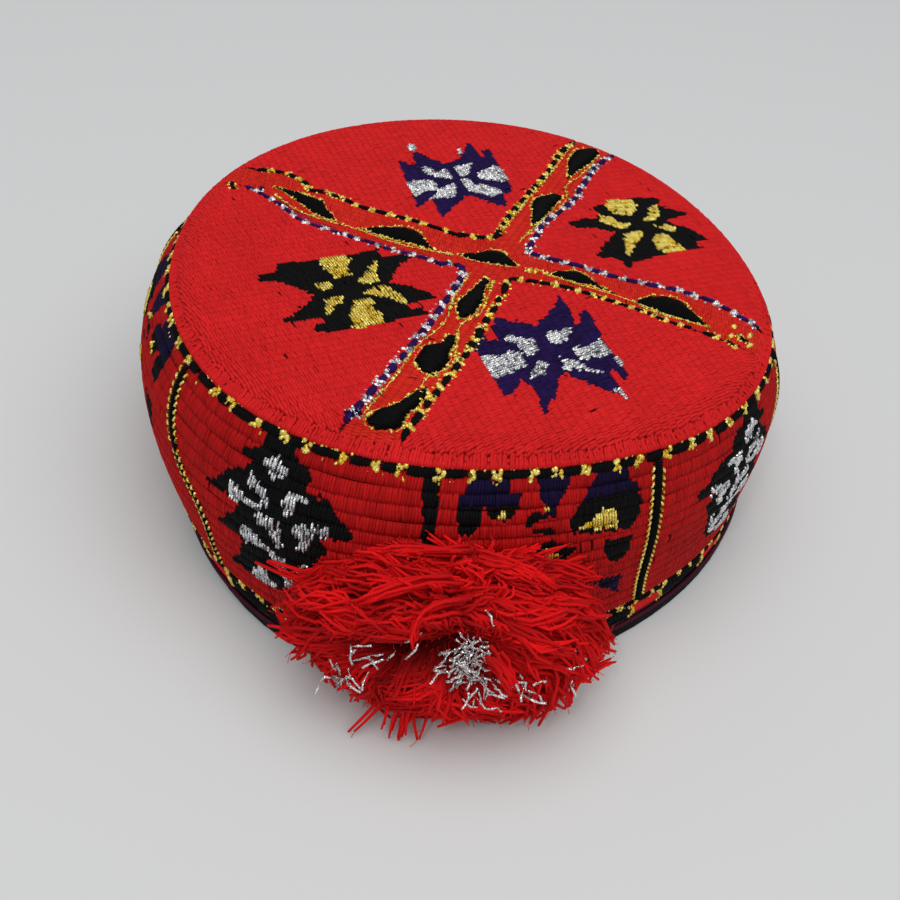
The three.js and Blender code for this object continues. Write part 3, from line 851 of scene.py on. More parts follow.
TREE = [
    (0.5, 65), (-4.5, 65), (-4.5, 61.2), (-7, 59.5), (-7, 57.7), (-5, 57.5), (-5.5, 55.5), (-8.5, 52),
    (-10, 48), (-12, 45.5), (-5.2, 46.3), (-5.5, 43), (-8, 38), (-9.5, 35), (-5, 36), (-4.3, 34),
    (-5, 28.5), (-8, 22.8), (3.2, 22), (5.5, 26), (7, 30.5), (7.2, 34), (8.5, 38), (10, 42), (8.5, 45.8),
    (12.8, 46.5), (13.2, 49.5), (10.5, 52), (8.5, 55.5), (5, 56.3), (4.2, 57.7), (5.4, 58.3), (3.8, 61),
    (1.2, 61.6),
]
TREE_PATCHES = [
    [(-3.8, 58.5), (-2, 61), (1, 59.5), (1, 56.5), (-1, 56), (-2, 57.7)],
    [(-4.7, 53), (-4.3, 55.5), (-2.8, 53.6), (-1, 53), (0, 48.5), (-1.7, 48.5), (-2, 51), (-4, 51.5)],
    [(1.5, 51), (2.2, 55), (5.8, 54.5), (6, 53.4), (4, 52.8), (3.3, 48), (2, 48), (2.7, 50.5)],
    [(-7.6, 50), (-5, 49.7), (-4.3, 48.2), (-1.2, 48.3), (-1.2, 46.8), (-5.3, 46), (-7.2, 45.5)],
    [(4, 45), (5, 47.7), (9.8, 49), (9.5, 46), (7.5, 46), (7, 40.5), (5, 40), (5.5, 43)],
    [(-2.3, 46), (2.3, 45.8), (3, 38.5), (1.5, 38.7), (0.5, 42.5), (-1.5, 43)],
    [(-4.5, 37), (-4, 40), (-1.5, 39.5), (0, 37), (2, 35.7), (1.7, 34.3), (-1, 35.5), (-3.5, 34.7)],
    [(0.5, 36), (3.7, 35), (4, 30.7), (5, 30), (4.5, 25), (3, 25), (3, 29), (1.5, 32.5)],
    [(5.7, 31), (7.2, 36), (6.2, 36), (5.3, 32)],
    [(-3.5, 23), (-1.5, 28.5), (0, 28), (0.3, 24.8), (1.7, 24), (1.5, 22.4)],
]
ARCHES = [
    [(-14, 65), (-8, 65), (-7.6, 61.5), (-5.5, 61), (-5.7, 57.5), (-7.5, 55), (-10, 55.5), (-10.5, 57.5),
     (-12, 59.5), (-11.5, 55), (-12, 52), (-14.5, 51.5), (-15.3, 55), (-15.4, 61)],
    [(-3.5, 65), (3, 65), (2.2, 61.3), (1, 58), (1, 55.2), (-1.4, 55.2), (-1.6, 58), (-2.5, 61)],
    [(8, 65), (13, 65), (13.6, 61.5), (15, 60), (16.2, 55), (15.8, 51), (14.8, 47.7), (12, 48), (4, 49.5),
     (3, 52), (4.3, 56.5), (6.4, 61)],
    [(-4.5, 55.5), (-3, 56.8), (-1, 55.8), (-1.8, 54), (-4, 52.7)],
    [(-3, 51.5), (-1, 52.5), (1, 51), (0, 50)],
    [(9.6, 45.5), (15.2, 45), (15, 38.5), (13, 36), (11, 39)],
    [(8.2, 30.7), (15, 30), (15.6, 22), (12.5, 25.5), (10.5, 28.8)],
    [(-15.2, 45.5), (-9.6, 45), (-11, 39), (-13, 36), (-15, 38.5)],
    [(-15, 30), (-8.2, 30.7), (-10.5, 28.8), (-12.5, 25.5), (-15.6, 22)],
    [(-5, 45), (0, 49), (5, 45), (3, 41), (0, 36.5), (-3, 41)],
    [(-5, 30), (5, 30), (3, 26), (0, 22), (-3, 26)],
]
ARCH_GOLD = [
    [(4.2, 51.2), (6.4, 52.2), (7.8, 53.5), (8.8, 55.2), (11.2, 54.5), (12.2, 48.5), (9, 49.6), (6, 50)],
    [(-9.5, 55.2), (-8.2, 57.5), (-7, 55.5)],
    [(-1.8, 56.7), (-0.5, 57.6), (0.8, 56.2)],
    [(-2, 44), (0, 46.5), (2, 44), (0, 41)],
]
NAVY_ARCHES = (1, 6, 8, 10)  # the ARCHES that are navy from top to bottom
NAVY_ABOVE = 58.5  # the height above which the others are navy too
PANEL_HALF = 22  # degrees
PANELS = [  # middle in degrees, motif, mirrored
    (245.0, "tree", False), (288.0, "arches", False), (329.5, "tree", True), (373.5, "arches", True),
    (420.5, "tree", False), (467.5, "arches", False), (514.5, "tree", True), (559.0, "arches", True),
]


def band_colours(degrees, height):
    colours = np.full(degrees.shape, "red", "<U8")
    ragged = height + random.normal(0, 0.25, height.shape)
    for middle, motif, mirrored in PANELS:
        offset = (degrees - middle + 180) % 360 - 180
        near = np.abs(offset) < PANEL_HALF
        place = np.where(mirrored, -offset, offset)[near]
        level = ragged[near]
        part = colours[near]
        if motif == "tree":
            part[inside(TREE, place, level)] = "black"
            for patch in TREE_PATCHES:
                part[inside(patch, place, level)] = "silver"
        else:
            for number, shape in enumerate(ARCHES):
                part[inside(shape, place, level)] = "navy" if number in NAVY_ARCHES else "black"
            top = (level > NAVY_ABOVE) & (part == "black")
            part[top] = "navy"
            for patch in ARCH_GOLD:
                part[inside(patch, place, level)] = "gold"
        colours[near] = part
    return colours


FRONT_STRIPE = [
    (266.4, 65), (268.6, 65), (269.2, 61.8), (269.6, 57), (270.1, 50), (269.5, 30), (268, 30), (268.2, 50),
    (267.4, 57), (266.5, 61.5)]


def band_quarter(a):
    """The four quarters of the band that its red stitches are joined in."""
    degrees = (a / DEGREE) % 360
    names = ["right", "back", "left", "front"]
    number = ((degrees + 45) // 90).astype(int) % 4
    return {f"_{name}": number == i for i, name in enumerate(names)}


ROW_WAVES = [(0.16, 9, 2.1), (0.12, 17, -1.3)]  # height, waves round, turn from row to row


def row_sway(along, row):
    """How far a row strays up or down from level: hand work isn't even."""
    return sum(height * np.sin(waves * (along / ROUND) + turn * row) for height, waves, turn in ROW_WAVES)


def band_rows():
    count = int(TURN / BAND_PITCH)
    part = part_middles(BAND_PARTS)
    for row in range(ROWS):
        middle = ROW_TOP - ROW_HEIGHT * (row + 0.5)
        a = (np.arange(count) + random.random() + random.normal(0, 0.08, count)) * BAND_PITCH
        b = middle + row_sway(a, row)
        heights = b[:, None] + ROW_HEIGHT / 2 * part
        degrees = np.broadcast_to((a / DEGREE)[:, None], heights.shape)
        colours = band_colours(degrees, heights)
        colours[inside(FRONT_STRIPE, degrees % 360, heights)] = "black"
        lay_stitches(
            "band", band_surface, a, b, np.array([0, ROW_HEIGHT / 2 * ROW_OVERLAP]), colours, BAND_ARCH,
            BAND_SLANT, BAND_PITCH * STITCH_WIDTH, band_quarter)


def upright_lines():
    for edge in PANEL_EDGES:
        route = [((edge + lean) * DEGREE, height) for lean, height in PANEL_EDGE]
        edged_column("band", band_surface, route, UPRIGHT_WIDTH)
    for route, width in ((LEANING_LINE, LEANING_WIDTH), (LEANING_TAIL, TAIL_WIDTH)):
        edged_column("band", band_surface, [(degrees * DEGREE, height) for degrees, height in route], width)


def edged_column(prefix, surface, route, width):
    """An upright satin line in black with gold stitches down both of its edges."""
    points, direction, _ = smooth_route(route, LINE_PITCH)
    t = np.linspace(-1, 1, THREAD_STATIONS)
    half = width / 2 + random.normal(0, 0.1, (len(points), 1))
    a, b = shifted(points, direction, 0, half * t)
    out = np.broadcast_to(0.6 + crowned(t), a.shape)
    add_on_surface(f"{prefix}_black_lines", surface, a, b, out, *SATIN_THREAD)
    for sign in (-1, 1):
        knots = np.arange(2 + (sign > 0), len(points) - 2, 3)
        t = np.linspace(-1, 1, 4)
        sideways = sign * (width / 2 + PAST_EDGE - EDGE_STITCH[1] * t[None])
        a, b = shifted(points[knots], direction[knots], EDGE_STITCH[0] * t[None], sideways)
        out = np.broadcast_to(1.0 + 0.4 * (1 - t ** 2), a.shape)
        add_on_surface(f"{prefix}_gold_lines", surface, a, b, out, *EDGE_THREAD, sides=4)


def ring_route(height, start=0.0):
    degrees = np.arange(start, start + 361, 5)
    return np.stack([degrees * DEGREE, np.full(len(degrees), height)], -1)


SEAM_DASH = 3.3 * DEGREE
SEAM_GAP = 1.8 * DEGREE
SEAM_LINE_HEIGHT = 65.2
SEAM_LINE_START = 222.5  # degrees
SEAM_LINE_WIDTH = 2.7
RIM_FACE = 10.8  # the length of the rim's face from the seam to the crown


def seam_surface(along, height):
    """The band's face and, above the seam, the first of the rim's round."""
    low = band_surface(along, np.minimum(height, SEAM_HEIGHT))
    high = rim_surface(along, np.clip((height - SEAM_HEIGHT) / RIM_FACE, 0, 1))
    return np.where((height > SEAM_HEIGHT)[..., None], high, low)


def seam_line():
    dashed_line(
        "band", seam_surface, ring_route(SEAM_LINE_HEIGHT, SEAM_LINE_START), SEAM_DASH, SEAM_GAP,
        SEAM_LINE_WIDTH, "black", "gold", start=SEAM_GAP / 2 + SEAM_DASH, knots=7)


HEM_ROW = (5.0, 11.2)
HEM_BLOCK = 22.0
HEM_PERIOD = 34.0
HEM_START = 9
HEM_POINT = 1.6  # how far the middle of a block lies ahead of its upper and lower edge
HEM_EDGE = 0.8  # half the width of the metal at a block's ends
HEM_ARCH = (0.2, 1.1)
HEM_SLANT = 0.3
HEM_LINE_HEIGHT = 12.4
HEM_LINE = (4.2, 2.0, 2.2)  # dash, gap, width
PLUM_CORD = {"height": 4.7, "out": 1.5, "radius": 0.62}


def hem_border():
    """The row above the binding: long black blocks between red ones, a dashed line over it, a cord below."""
    count = int(TURN / BAND_PITCH)
    a = np.arange(count) * BAND_PITCH + random.normal(0, 0.05, count)
    middle, half = (HEM_ROW[0] + HEM_ROW[1]) / 2, (HEM_ROW[1] - HEM_ROW[0]) / 2
    part = part_middles(BAND_PARTS)
    phase = (a[:, None] + HEM_POINT * np.abs(part) - HEM_START) % HEM_PERIOD
    colours = np.where(phase < HEM_BLOCK, "black", "red").astype("<U8")
    edge = np.minimum(np.abs(phase - HEM_BLOCK), np.minimum(phase, HEM_PERIOD - phase)) < HEM_EDGE
    colours[edge] = "gold"
    lay_stitches(
        "hem", band_surface, a, np.full(count, middle), np.array([0, half]), colours, HEM_ARCH, HEM_SLANT,
        BAND_PITCH * STITCH_WIDTH)
    dashed_line("hem", band_surface, ring_route(HEM_LINE_HEIGHT), *HEM_LINE, "black", "gold")
    wound_cord()


def wound_cord():
    """A thin plum-coloured cord laid along the top of the binding."""
    a = np.linspace(0, TURN, 721)[None]
    height, out = np.full_like(a, PLUM_CORD["height"]), np.full_like(a, PLUM_CORD["out"])
    radius = PLUM_CORD["radius"]
    add_on_surface("hem_plum_cord", band_surface, a, height, out, radius, radius, sides=6)


# The pompom: wool yarn tied in its middle, parted at a whorl and combed round it

POMPOM_MIDDLE = np.array([4.1, -101.0, 26.2])
POMPOM_HALF = np.array([40.5, 24.0, 24.0])
WHORL = np.array([0.11, -0.28, 0.95])  # the direction that the clumps' tips are spread round
PARTING = np.array([[0.12, 0.2, 0.95], [0.08, -0.72, 0.69]])  # the ends of the line that the yarn parts at
YARN_RADIUS = 0.57
YARN_STATIONS = 8
YARN_LENGTH = (0.5, 0.13, 0.25, 0.9)  # as an angle: mean, spread, least, most
YARN_ROOT = (0.45, 0.25)  # how far out a yarn begins at the parting, and how much farther where it lies flat
YARN_TIP = 0.985
CLUMPS = 400
YARNS_PER_CLUMP = 7
CLUMP_CURL = 0.7
CLUMP_LIFT = 0.05
PROUD_CLUMPS = (0.12, 0.09)  # the share of clumps that stand out of the ball, and how far
STRAND_SPREAD = 0.07  # the angle between the yarns of a clump
YARN_WAVE = 0.08
YARN_RIPPLE = 0.045
YARN_TONE_AND_PAINTED_SHADE = (0.4, 0.2, 0.4)  # random tone from its clump and from itself, and painted shade: darker at the root, lighter toward the tip
COVERED = 1.9  # how much of the ball the tips are spread over: 2 is all of it
GOLDEN_ANGLE = 2.39996
COMBED_FROM = 0.6  # the angle from the parting at which yarns lie flat
SAG = 2.2
SAG_BELOW = (46, 12)  # the height that yarns sag below, and how soon they do
FLOOR_CLEAR = 0.7
FLOOR_SPREAD = 0.8  # how far outward yarn goes for each millimetre that the floor lifts it
BAND_CLEAR = 1.9
HOLLOWS = [  # where the yarn lies deeper, the tinsel shows and the yarn is painted dark as shade: direction from the pompom's middle, reach
    ((0.14, -0.88, 0.4), 0.44), ((-0.06, -0.93, 0.36), 0.36), ((-0.55, -0.83, 0.14), 0.32),
    ((0.5, -0.84, 0.06), 0.14), ((-0.38, -0.83, 0.36), 0.16), ((0.2, -0.97, 0.06), 0.2),
]
HOLLOW_DEPTH = 0.5
HOLLOW_STEEPNESS = 2.3
LOCKS = [  # curved locks that lie over the rest: directions from the pompom's middle along each
    [(0.08, -0.45, 0.89), (-0.05, -0.5, 0.86), (-0.15, -0.58, 0.8), (-0.2, -0.7, 0.68),
     (-0.18, -0.8, 0.57)],
    [(0.3, -0.8, 0.52), (0.38, -0.85, 0.36), (0.43, -0.88, 0.2), (0.46, -0.88, 0.1)],
    [(0.12, 0.12, 0.98), (-0.1, 0.05, 0.99), (-0.35, 0.05, 0.93), (-0.55, 0.02, 0.83)],
    [(0.14, 0.0, 0.99), (0.3, 0.02, 0.95), (0.48, 0.0, 0.87), (0.62, -0.05, 0.77)],
    [(0.02, -0.3, 0.95), (-0.15, -0.33, 0.93), (-0.36, -0.42, 0.83), (-0.55, -0.5, 0.66)],
]
LOCK_YARNS = 9
LOCK_SPREAD = 1.2
LOCK_HEIGHT = 1.01  # as a share of the pompom's half


def unsettle(points):
    """The radius and angle on the round, upright hat that settle() takes to these points."""
    share = np.clip(points[..., 2] / SEAM_HEIGHT, 0, 1)
    waist = 4 * share * (1 - share)
    x = points[..., 0] - HEM_SHIFT[0] * (1 - share) - WAIST_SHIFT[0] * waist
    y = points[..., 1] - HEM_SHIFT[1] * (1 - share) - WAIST_SHIFT[1] * waist
    angle = np.arctan2(y, x)
    stretch = 1 + wave_sum(SEAM_WAVES, angle) + (1 - share) * wave_sum(HEM_WAVES, angle)
    return np.hypot(x, y) / stretch, angle


def clear_of_band(points, room):
    """Moves points that would be inside the band straight out of it."""
    radius, angle = unsettle(points)
    height = np.clip(points[..., 2], 0, SEAM_HEIGHT)
    moved = settle(np.maximum(radius, band_radius(height) + room), angle, points[..., 2])
    moved[..., 2] = points[..., 2]
    return np.where((radius < band_radius(height) + room)[..., None], moved, points)


def clear_of_floor(points, room):
    """Lifts points to the floor and spreads what was below it outward."""
    below = np.maximum(room - points[..., 2], 0)
    outward = unit((points - POMPOM_MIDDLE) * [1, 1, 0])
    points = points + outward * below[..., None] * FLOOR_SPREAD
    points[..., 2] = np.maximum(points[..., 2], room)
    return points


def compass(middle, away, around):
    """Directions at an angle away from a middle direction and an angle round it."""
    level = unit(np.cross([1.0, 0, 0], middle))
    cross = np.cross(middle, level)
    flat = level * np.cos(around)[..., None] + cross * np.sin(around)[..., None]
    return middle * np.cos(away)[..., None] + flat * np.sin(away)[..., None]


def from_parting(tips):
    """The parting's nearest point to each direction, and the direction's angles away from and round it."""
    share = np.linspace(0, 1, 25)[:, None]
    line = unit(PARTING[0] * (1 - share) + PARTING[1] * share)
    nearest = line[np.argmax(tips @ line.T, axis=1)]
    nearest = unit(nearest + random.normal(0, 0.16, nearest.shape))
    away = np.arccos(np.clip((nearest * tips).sum(1), -1, 1))
    level = unit(np.cross([1.0, 0, 0], nearest))
    cross = np.cross(nearest, level)
    return nearest, away, np.arctan2((tips * cross).sum(1), (tips * level).sum(1))


def hollow_depth(direction):
    """1 in the middle of a hollow and 0 away from it."""
    depth = np.zeros(direction.shape[:-1])
    for toward, reach in HOLLOWS:
        distance = np.linalg.norm(unit(direction) - unit(np.array(toward)), axis=-1)
        depth = np.maximum(depth, np.clip(HOLLOW_STEEPNESS * (1 - distance / reach), 0, 1))
    return depth


def yarns():
    """Where each yarn runs: clumps that share a bend, from inside the ball to free tips on its outside."""
    tip_share = (np.arange(CLUMPS) + 0.5) / CLUMPS
    tip_away = np.arccos(1 - COVERED * tip_share) + random.normal(0, 0.08, CLUMPS)
    tip_turn = np.arange(CLUMPS) * GOLDEN_ANGLE + random.normal(0, 0.15, CLUMPS)
    root, clump_away, clump_turn = from_parting(compass(unit(WHORL), tip_away, tip_turn))
    clump_curl = random.normal(0, CLUMP_CURL, CLUMPS)
    proud_share, proud_lift = PROUD_CLUMPS
    clump_lift = random.normal(0, CLUMP_LIFT, CLUMPS) + proud_lift * (random.random(CLUMPS) < proud_share)
    clump_phase = random.uniform(0, 2 * math.pi, CLUMPS)
    clump_shade = random.random(CLUMPS)
    clump = np.repeat(np.arange(CLUMPS), YARNS_PER_CLUMP)
    count = len(clump)
    t = np.linspace(0, 1, YARN_STATIONS)
    combed = np.clip(clump_away[clump] / COMBED_FROM, 0, 1)[:, None]
    mean, spread, least, most = YARN_LENGTH
    span = np.clip(random.normal(mean, spread, count), least, most)[:, None] * (0.2 + 0.8 * combed)
    tip = clump_away[clump][:, None] + random.normal(0, STRAND_SPREAD, (count, 1))
    away = np.maximum(tip - span * (1 - t), 0.02)
    breadth = np.maximum(np.sin(away), 0.3)
    strand = random.normal(0, STRAND_SPREAD, (count, 1)) * (1.3 - 0.8 * t) / breadth
    bend = clump_curl[clump][:, None] * (t - 1) * span
    wave = YARN_WAVE * np.sin(5 * t + clump_phase[clump][:, None]) / breadth
    ripple = YARN_RIPPLE * np.sin(9 * t + random.uniform(0, 2 * math.pi, (count, 1))) / breadth
    around = clump_turn[clump][:, None] + strand + bend + wave + ripple
    direction = compass(root[clump][:, None], away, around)
    inner = (YARN_ROOT[0] + YARN_ROOT[1] * combed) * (1 + random.normal(0, 0.03, (count, 1)))
    out = inner + (YARN_TIP - inner) * t ** (0.5 + 0.3 * (1 - combed))
    out = out + (clump_lift[clump] + random.normal(0, 0.035, count))[:, None] * t ** 1.5
    depth = hollow_depth(direction)
    out = out * (1 - HOLLOW_DEPTH * depth)
    points = POMPOM_MIDDLE + direction * POMPOM_HALF * out[..., None]
    points[..., 2] -= SAG * t ** 2 * np.clip((SAG_BELOW[0] - points[..., 2]) / SAG_BELOW[1], 0, 1)
    # Painted shade: each yarn is painted darker at its root, deep in the ball, and lighter toward its tip.
    common, own, painted_shade_to_tip = YARN_TONE_AND_PAINTED_SHADE
    shade = common * clump_shade[clump][:, None] + own * random.random((count, 1)) + painted_shade_to_tip * t
    # Painted shade: in a hollow's middle the yarn's shade drops to 0, the wool's near-black dark colour.
    return points, shade * (1 - depth)


STRAY_TIPS = [  # longer yarns that stand out from the rest: their tips
    (-17.2, -123.0, 1.4), (-4.6, -123.6, 1.2), (-6.4, -122.6, 2.6), (-2.4, -122.9, 3.4),
    (-8.2, -121.6, 4.2), (0.5, -123.4, 2.4), (-4.2, -121.4, 5.4), (49.5, -90, 7), (44, -99, 3),
    (-44.0, -90.5, 31), (-42, -92, 33.5), (33, -77.5, 44), (38.5, -79.5, 38), (42.5, -80.5, 33),
    (28, -79, 47), (22, -81, 49), (-8, -84.5, 49), (4, -83, 51), (12, -84, 50), (-37, -103, 12),
    (36, -104, 12),
]
STRAY_ROOT = 0.4
STRAY_RISE = [0, 0, 3]


def lock_yarns():
    """The yarns of the curved locks, which draw together toward their tips."""
    found = []
    for route in LOCKS:
        line, _, _ = smooth_route(POMPOM_MIDDLE + unit(np.array(route)) * POMPOM_HALF * LOCK_HEIGHT, 0.3)
        line = line[np.linspace(0, len(line) - 1, YARN_STATIONS).astype(int)]
        closing = np.linspace(1, 0.55, YARN_STATIONS)[:, None]
        apart = random.normal(0, LOCK_SPREAD, (LOCK_YARNS, 1, 3)) * closing
        found.append(line + apart + random.normal(0, 0.2, (LOCK_YARNS, YARN_STATIONS, 3)))
    points = np.concatenate(found)
    # Painted shade: the locks' yarns are painted darker at their roots and lighter toward their tips.
    return points, np.broadcast_to(np.linspace(0.45, 0.95, YARN_STATIONS), points.shape[:2])


def stray_yarns():
    """Pairs of longer yarns that stand out of the ball."""
    tips = np.repeat(np.array(STRAY_TIPS), 2, axis=0)
    tips = tips + random.normal(0, 0.8, tips.shape)
    t = np.linspace(0, 1, YARN_STATIONS)[None, :, None]
    start = POMPOM_MIDDLE + (tips - POMPOM_MIDDLE) * STRAY_ROOT + STRAY_RISE
    bend = (start + tips) / 2 + random.normal(0, 3.0, tips.shape) + STRAY_RISE
    points = (1 - t) ** 2 * start[:, None] + 2 * t * (1 - t) * bend[:, None] + t ** 2 * tips[:, None]
    # Painted shade: darker at the root, lighter toward the tip.
    return points, np.broadcast_to(0.4 + 0.5 * t[..., 0], points.shape[:2])


def in_place(points, room=BAND_CLEAR):
    """Keeps what belongs to the pompom off the floor and out of the band."""
    return clear_of_band(clear_of_floor(points, FLOOR_CLEAR), room)


def pompom():
    points, shade = (np.concatenate(both) for both in zip(yarns(), lock_yarns(), stray_yarns()))
    points = in_place(points)
    taper = 1 - 0.4 * np.linspace(0, 1, YARN_STATIONS) ** 6
    outward = unit(points - POMPOM_MIDDLE)
    add_tubes("pompom_wool_yarns", points, outward, YARN_RADIUS * taper, YARN_RADIUS * taper, 4, shade)
    fuzz(points, outward)


FUZZ_HAIRS = 4200
FUZZ_LENGTH = 2.4
FUZZ_RADIUS = 0.1
FUZZ_CLEAR = 1.2
HEART_SIZE = 0.66  # as a share of the pompom's
HEART_CLEAR = 0.8


def fuzz(points, outward):
    """Fine loose hairs that stand off the yarns' outer ends."""
    yarn = random.integers(0, len(points), FUZZ_HAIRS)
    station = random.integers(YARN_STATIONS // 2, YARN_STATIONS, FUZZ_HAIRS)
    along = unit(points[yarn, -1] - points[yarn, -3])
    heading = unit(0.6 * along + random.normal(0, 0.6, along.shape) + 0.35 * outward[yarn, station])
    t = np.linspace(0, 1, 3)[:, None]
    length = random.uniform(0.5, 1, (FUZZ_HAIRS, 1, 1)) * FUZZ_LENGTH
    bend = random.normal(0, 0.25, (FUZZ_HAIRS, 1, 3)) * t ** 2 * length
    hairs = in_place(points[yarn, station][:, None] + heading[:, None] * t * length + bend, FUZZ_CLEAR)
    facing = np.broadcast_to(outward[yarn, station][:, None], hairs.shape)
    # The hairs take the light shade that the painted shade gives the yarns' tips.
    add_tubes("pompom_wool_fuzz", hairs, facing, FUZZ_RADIUS, FUZZ_RADIUS, 3, np.full(FUZZ_HAIRS, 0.9))


def pompom_heart(material):
    """The dense middle of the pompom, a lumpy ball that the yarns' roots are buried in; its very dark red is
    painted shade between the yarns.
    """
    around, down = 64, 32
    fall = (np.arange(down) + 0.5) / down * math.pi
    turn, fall = np.meshgrid(np.arange(around) / around * 2 * math.pi, fall)
    direction = np.stack([np.cos(turn) * np.sin(fall), np.sin(turn) * np.sin(fall), np.cos(fall)], -1)
    lumps = HEART_SIZE + 0.03 * np.sin(9 * turn + 3 * fall) * np.sin(7 * fall)
    lumps = lumps * (1 - HOLLOW_DEPTH * hollow_depth(direction))
    points = in_place(POMPOM_MIDDLE + direction * POMPOM_HALF * lumps[..., None], HEART_CLEAR)
    corners, counts = ring_faces(1, down, around)
    heart = mesh_object("pompom_heart", points.reshape(-1, 3), corners, counts, material)
    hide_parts("pompom")


TINSEL = [  # direction from the pompom's middle, distance as a share of its size, spread in mm, strips
    ((0.19, -0.87, 0.43), 0.84, 4.4, 62), ((0.28, -0.95, 0.14), 0.9, 3.0, 26),
    ((0.05, -0.93, 0.28), 0.78, 3.0, 8), ((-0.63, -0.78, -0.08), 0.97, 2.6, 12),
    ((-0.42, -0.86, 0.24), 0.9, 3.0, 8), ((-0.62, -0.85, -0.24), 1.0, 2.0, 4),
    ((0.52, -0.84, 0.08), 0.98, 2.4, 10), ((-0.16, -0.75, 0.6), 0.99, 1.2, 3),
    ((0.25, -0.96, -0.14), 1.03, 1.5, 3),
    ((0.8, -0.57, 0.14), 1.0, 2.0, 5), ((0.2, -0.5, 0.84), 1.0, 0.6, 2),
]
TINSEL_STATIONS = 4
TINSEL_STEP = 1.5
TINSEL_STRIP = (0.32, 0.06)  # half of a strip's width and thickness


def tinsel():
    """Kinked strips of silver foil among the yarns."""
    for toward, distance, spread, count in TINSEL:
        middle = POMPOM_MIDDLE + unit(np.array(toward)) * POMPOM_HALF * distance
        start = middle + random.normal(0, 0.5, (count, 3)) * spread
        heading = random.normal(0, 1, (count, 1, 3)) * [1, 0.45, 1] + [0.1, -0.25, -0.2]
        kinks = random.normal(0, 0.25, (count, TINSEL_STATIONS, 3))
        steps = unit(unit(heading) + kinks) * TINSEL_STEP * random.uniform(0.6, 1.4, (count, 1, 1))
        points = in_place(start[:, None] + np.cumsum(steps, axis=1))
        facing = unit(random.normal(0, 0.6, points.shape) + [0, -0.8, 0.7])
        add_tubes("pompom_tinsel_strips", points, facing, *TINSEL_STRIP, sides=4)


# Materials

PATCHES = 55.0  # scales of textures, in the object's metres
FIBRES = 1400.0
PAINTED_GLINTS = 850.0
STRIP_TURNS = 2200.0
FINE_BUMP = 0.0003
CLOTH_BUMP = 0.0004
WAVE_PERIOD = 6.28


def new_material(name, base, roughness, metallic=0.0):
    material = bpy.data.materials.new(name)
    material.use_nodes = True
    material.diffuse_color = (*base, 1)
    shader = material.node_tree.nodes["Principled BSDF"]
    shader.inputs["Roughness"].default_value = roughness
    shader.inputs["Metallic"].default_value = metallic
    return material, material.node_tree, shader


def node(tree, kind, **settings):
    made = tree.nodes.new(kind)
    for name, value in settings.items():
        if name in made.inputs:
            made.inputs[name].default_value = value
        else:
            setattr(made, name, value)
    return made


def texture(tree, kind, **settings):
    """A texture laid out in the object's own metres."""
    made = node(tree, kind, **settings)
    tree.links.new(node(tree, "ShaderNodeTexCoord").outputs["Object"], made.inputs["Vector"])
    return made


def combine(tree, operation, *values):
    """Arithmetic on values, each a number or another node's output."""
    made = node(tree, "ShaderNodeMath", operation=operation)
    for socket, value in zip(made.inputs, values):
        if isinstance(value, float):
            socket.default_value = value
        else:
            tree.links.new(value, socket)
    return made.outputs[0]


def colour_by(tree, shader, value, colours, positions):
    """Colours the surface by a value, with a colour at each of some positions."""
    made = tree.nodes.new("ShaderNodeValToRGB")
    elements = made.color_ramp.elements
    if len(colours) > len(elements):
        elements.new(0.5)
    for element, position, colour in zip(elements, positions, colours):
        element.position = position
        element.color = (*colour, 1)
    tree.links.new(value, made.inputs[0])
    tree.links.new(made.outputs[0], shader.inputs["Base Color"])


def raise_by(tree, shader, height, strength, distance):
    """Bumps in the surface, by a texture's height."""
    made = node(tree, "ShaderNodeBump", Strength=strength, Distance=distance)
    tree.links.new(height, made.inputs["Height"])
    tree.links.new(made.outputs[0], shader.inputs["Normal"])


def floss(name, dark, light, roughness=0.72, sheen=0.25, grain=0.5, own=0.45, worn=0.6):
    """Wool or cotton floss with fine fibres. own: how much of its shade a stitch has to itself. worn: how
    much it shares with its neighbours."""
    material, tree, shader = new_material(name, light, roughness)
    stitch = node(tree, "ShaderNodeAttribute", attribute_name="shade")
    patches = texture(tree, "ShaderNodeTexNoise", Scale=PATCHES, Detail=3.0)
    shared = combine(tree, "MULTIPLY", patches.outputs["Fac"], worn)
    shade = combine(tree, "MULTIPLY_ADD", stitch.outputs["Fac"], own, shared)
    colour_by(tree, shader, shade, (dark, light), (0.15, 0.85))
    fibre = texture(tree, "ShaderNodeTexNoise", Scale=FIBRES, Detail=2.0)
    raise_by(tree, shader, fibre.outputs["Fac"], grain, FINE_BUMP)
    shader.inputs["Sheen Weight"].default_value = sheen
    shader.inputs["Sheen Roughness"].default_value = 0.5
    shader.inputs["Sheen Tint"].default_value = (*light, 1)
    shader.inputs["Specular IOR Level"].default_value = 0.12
    return material


def metal_floss(name, dark, middle, light, roughness, metallic):
    """A core wound with a strip of metal. Its base colour is set cell by cell: dark where the core shows
    between the turns, the metal's own colour, and light spots that are painted glints.
    """
    material, tree, shader = new_material(name, middle, roughness, metallic)
    painted_glints = texture(tree, "ShaderNodeTexVoronoi", Scale=PAINTED_GLINTS)
    colour_by(tree, shader, painted_glints.outputs["Color"], (dark, middle, light), (0.08, 0.3, 0.62))
    turns = texture(tree, "ShaderNodeTexVoronoi", Scale=STRIP_TURNS)
    raise_by(tree, shader, turns.outputs["Distance"], 0.9, FINE_BUMP)
    return material


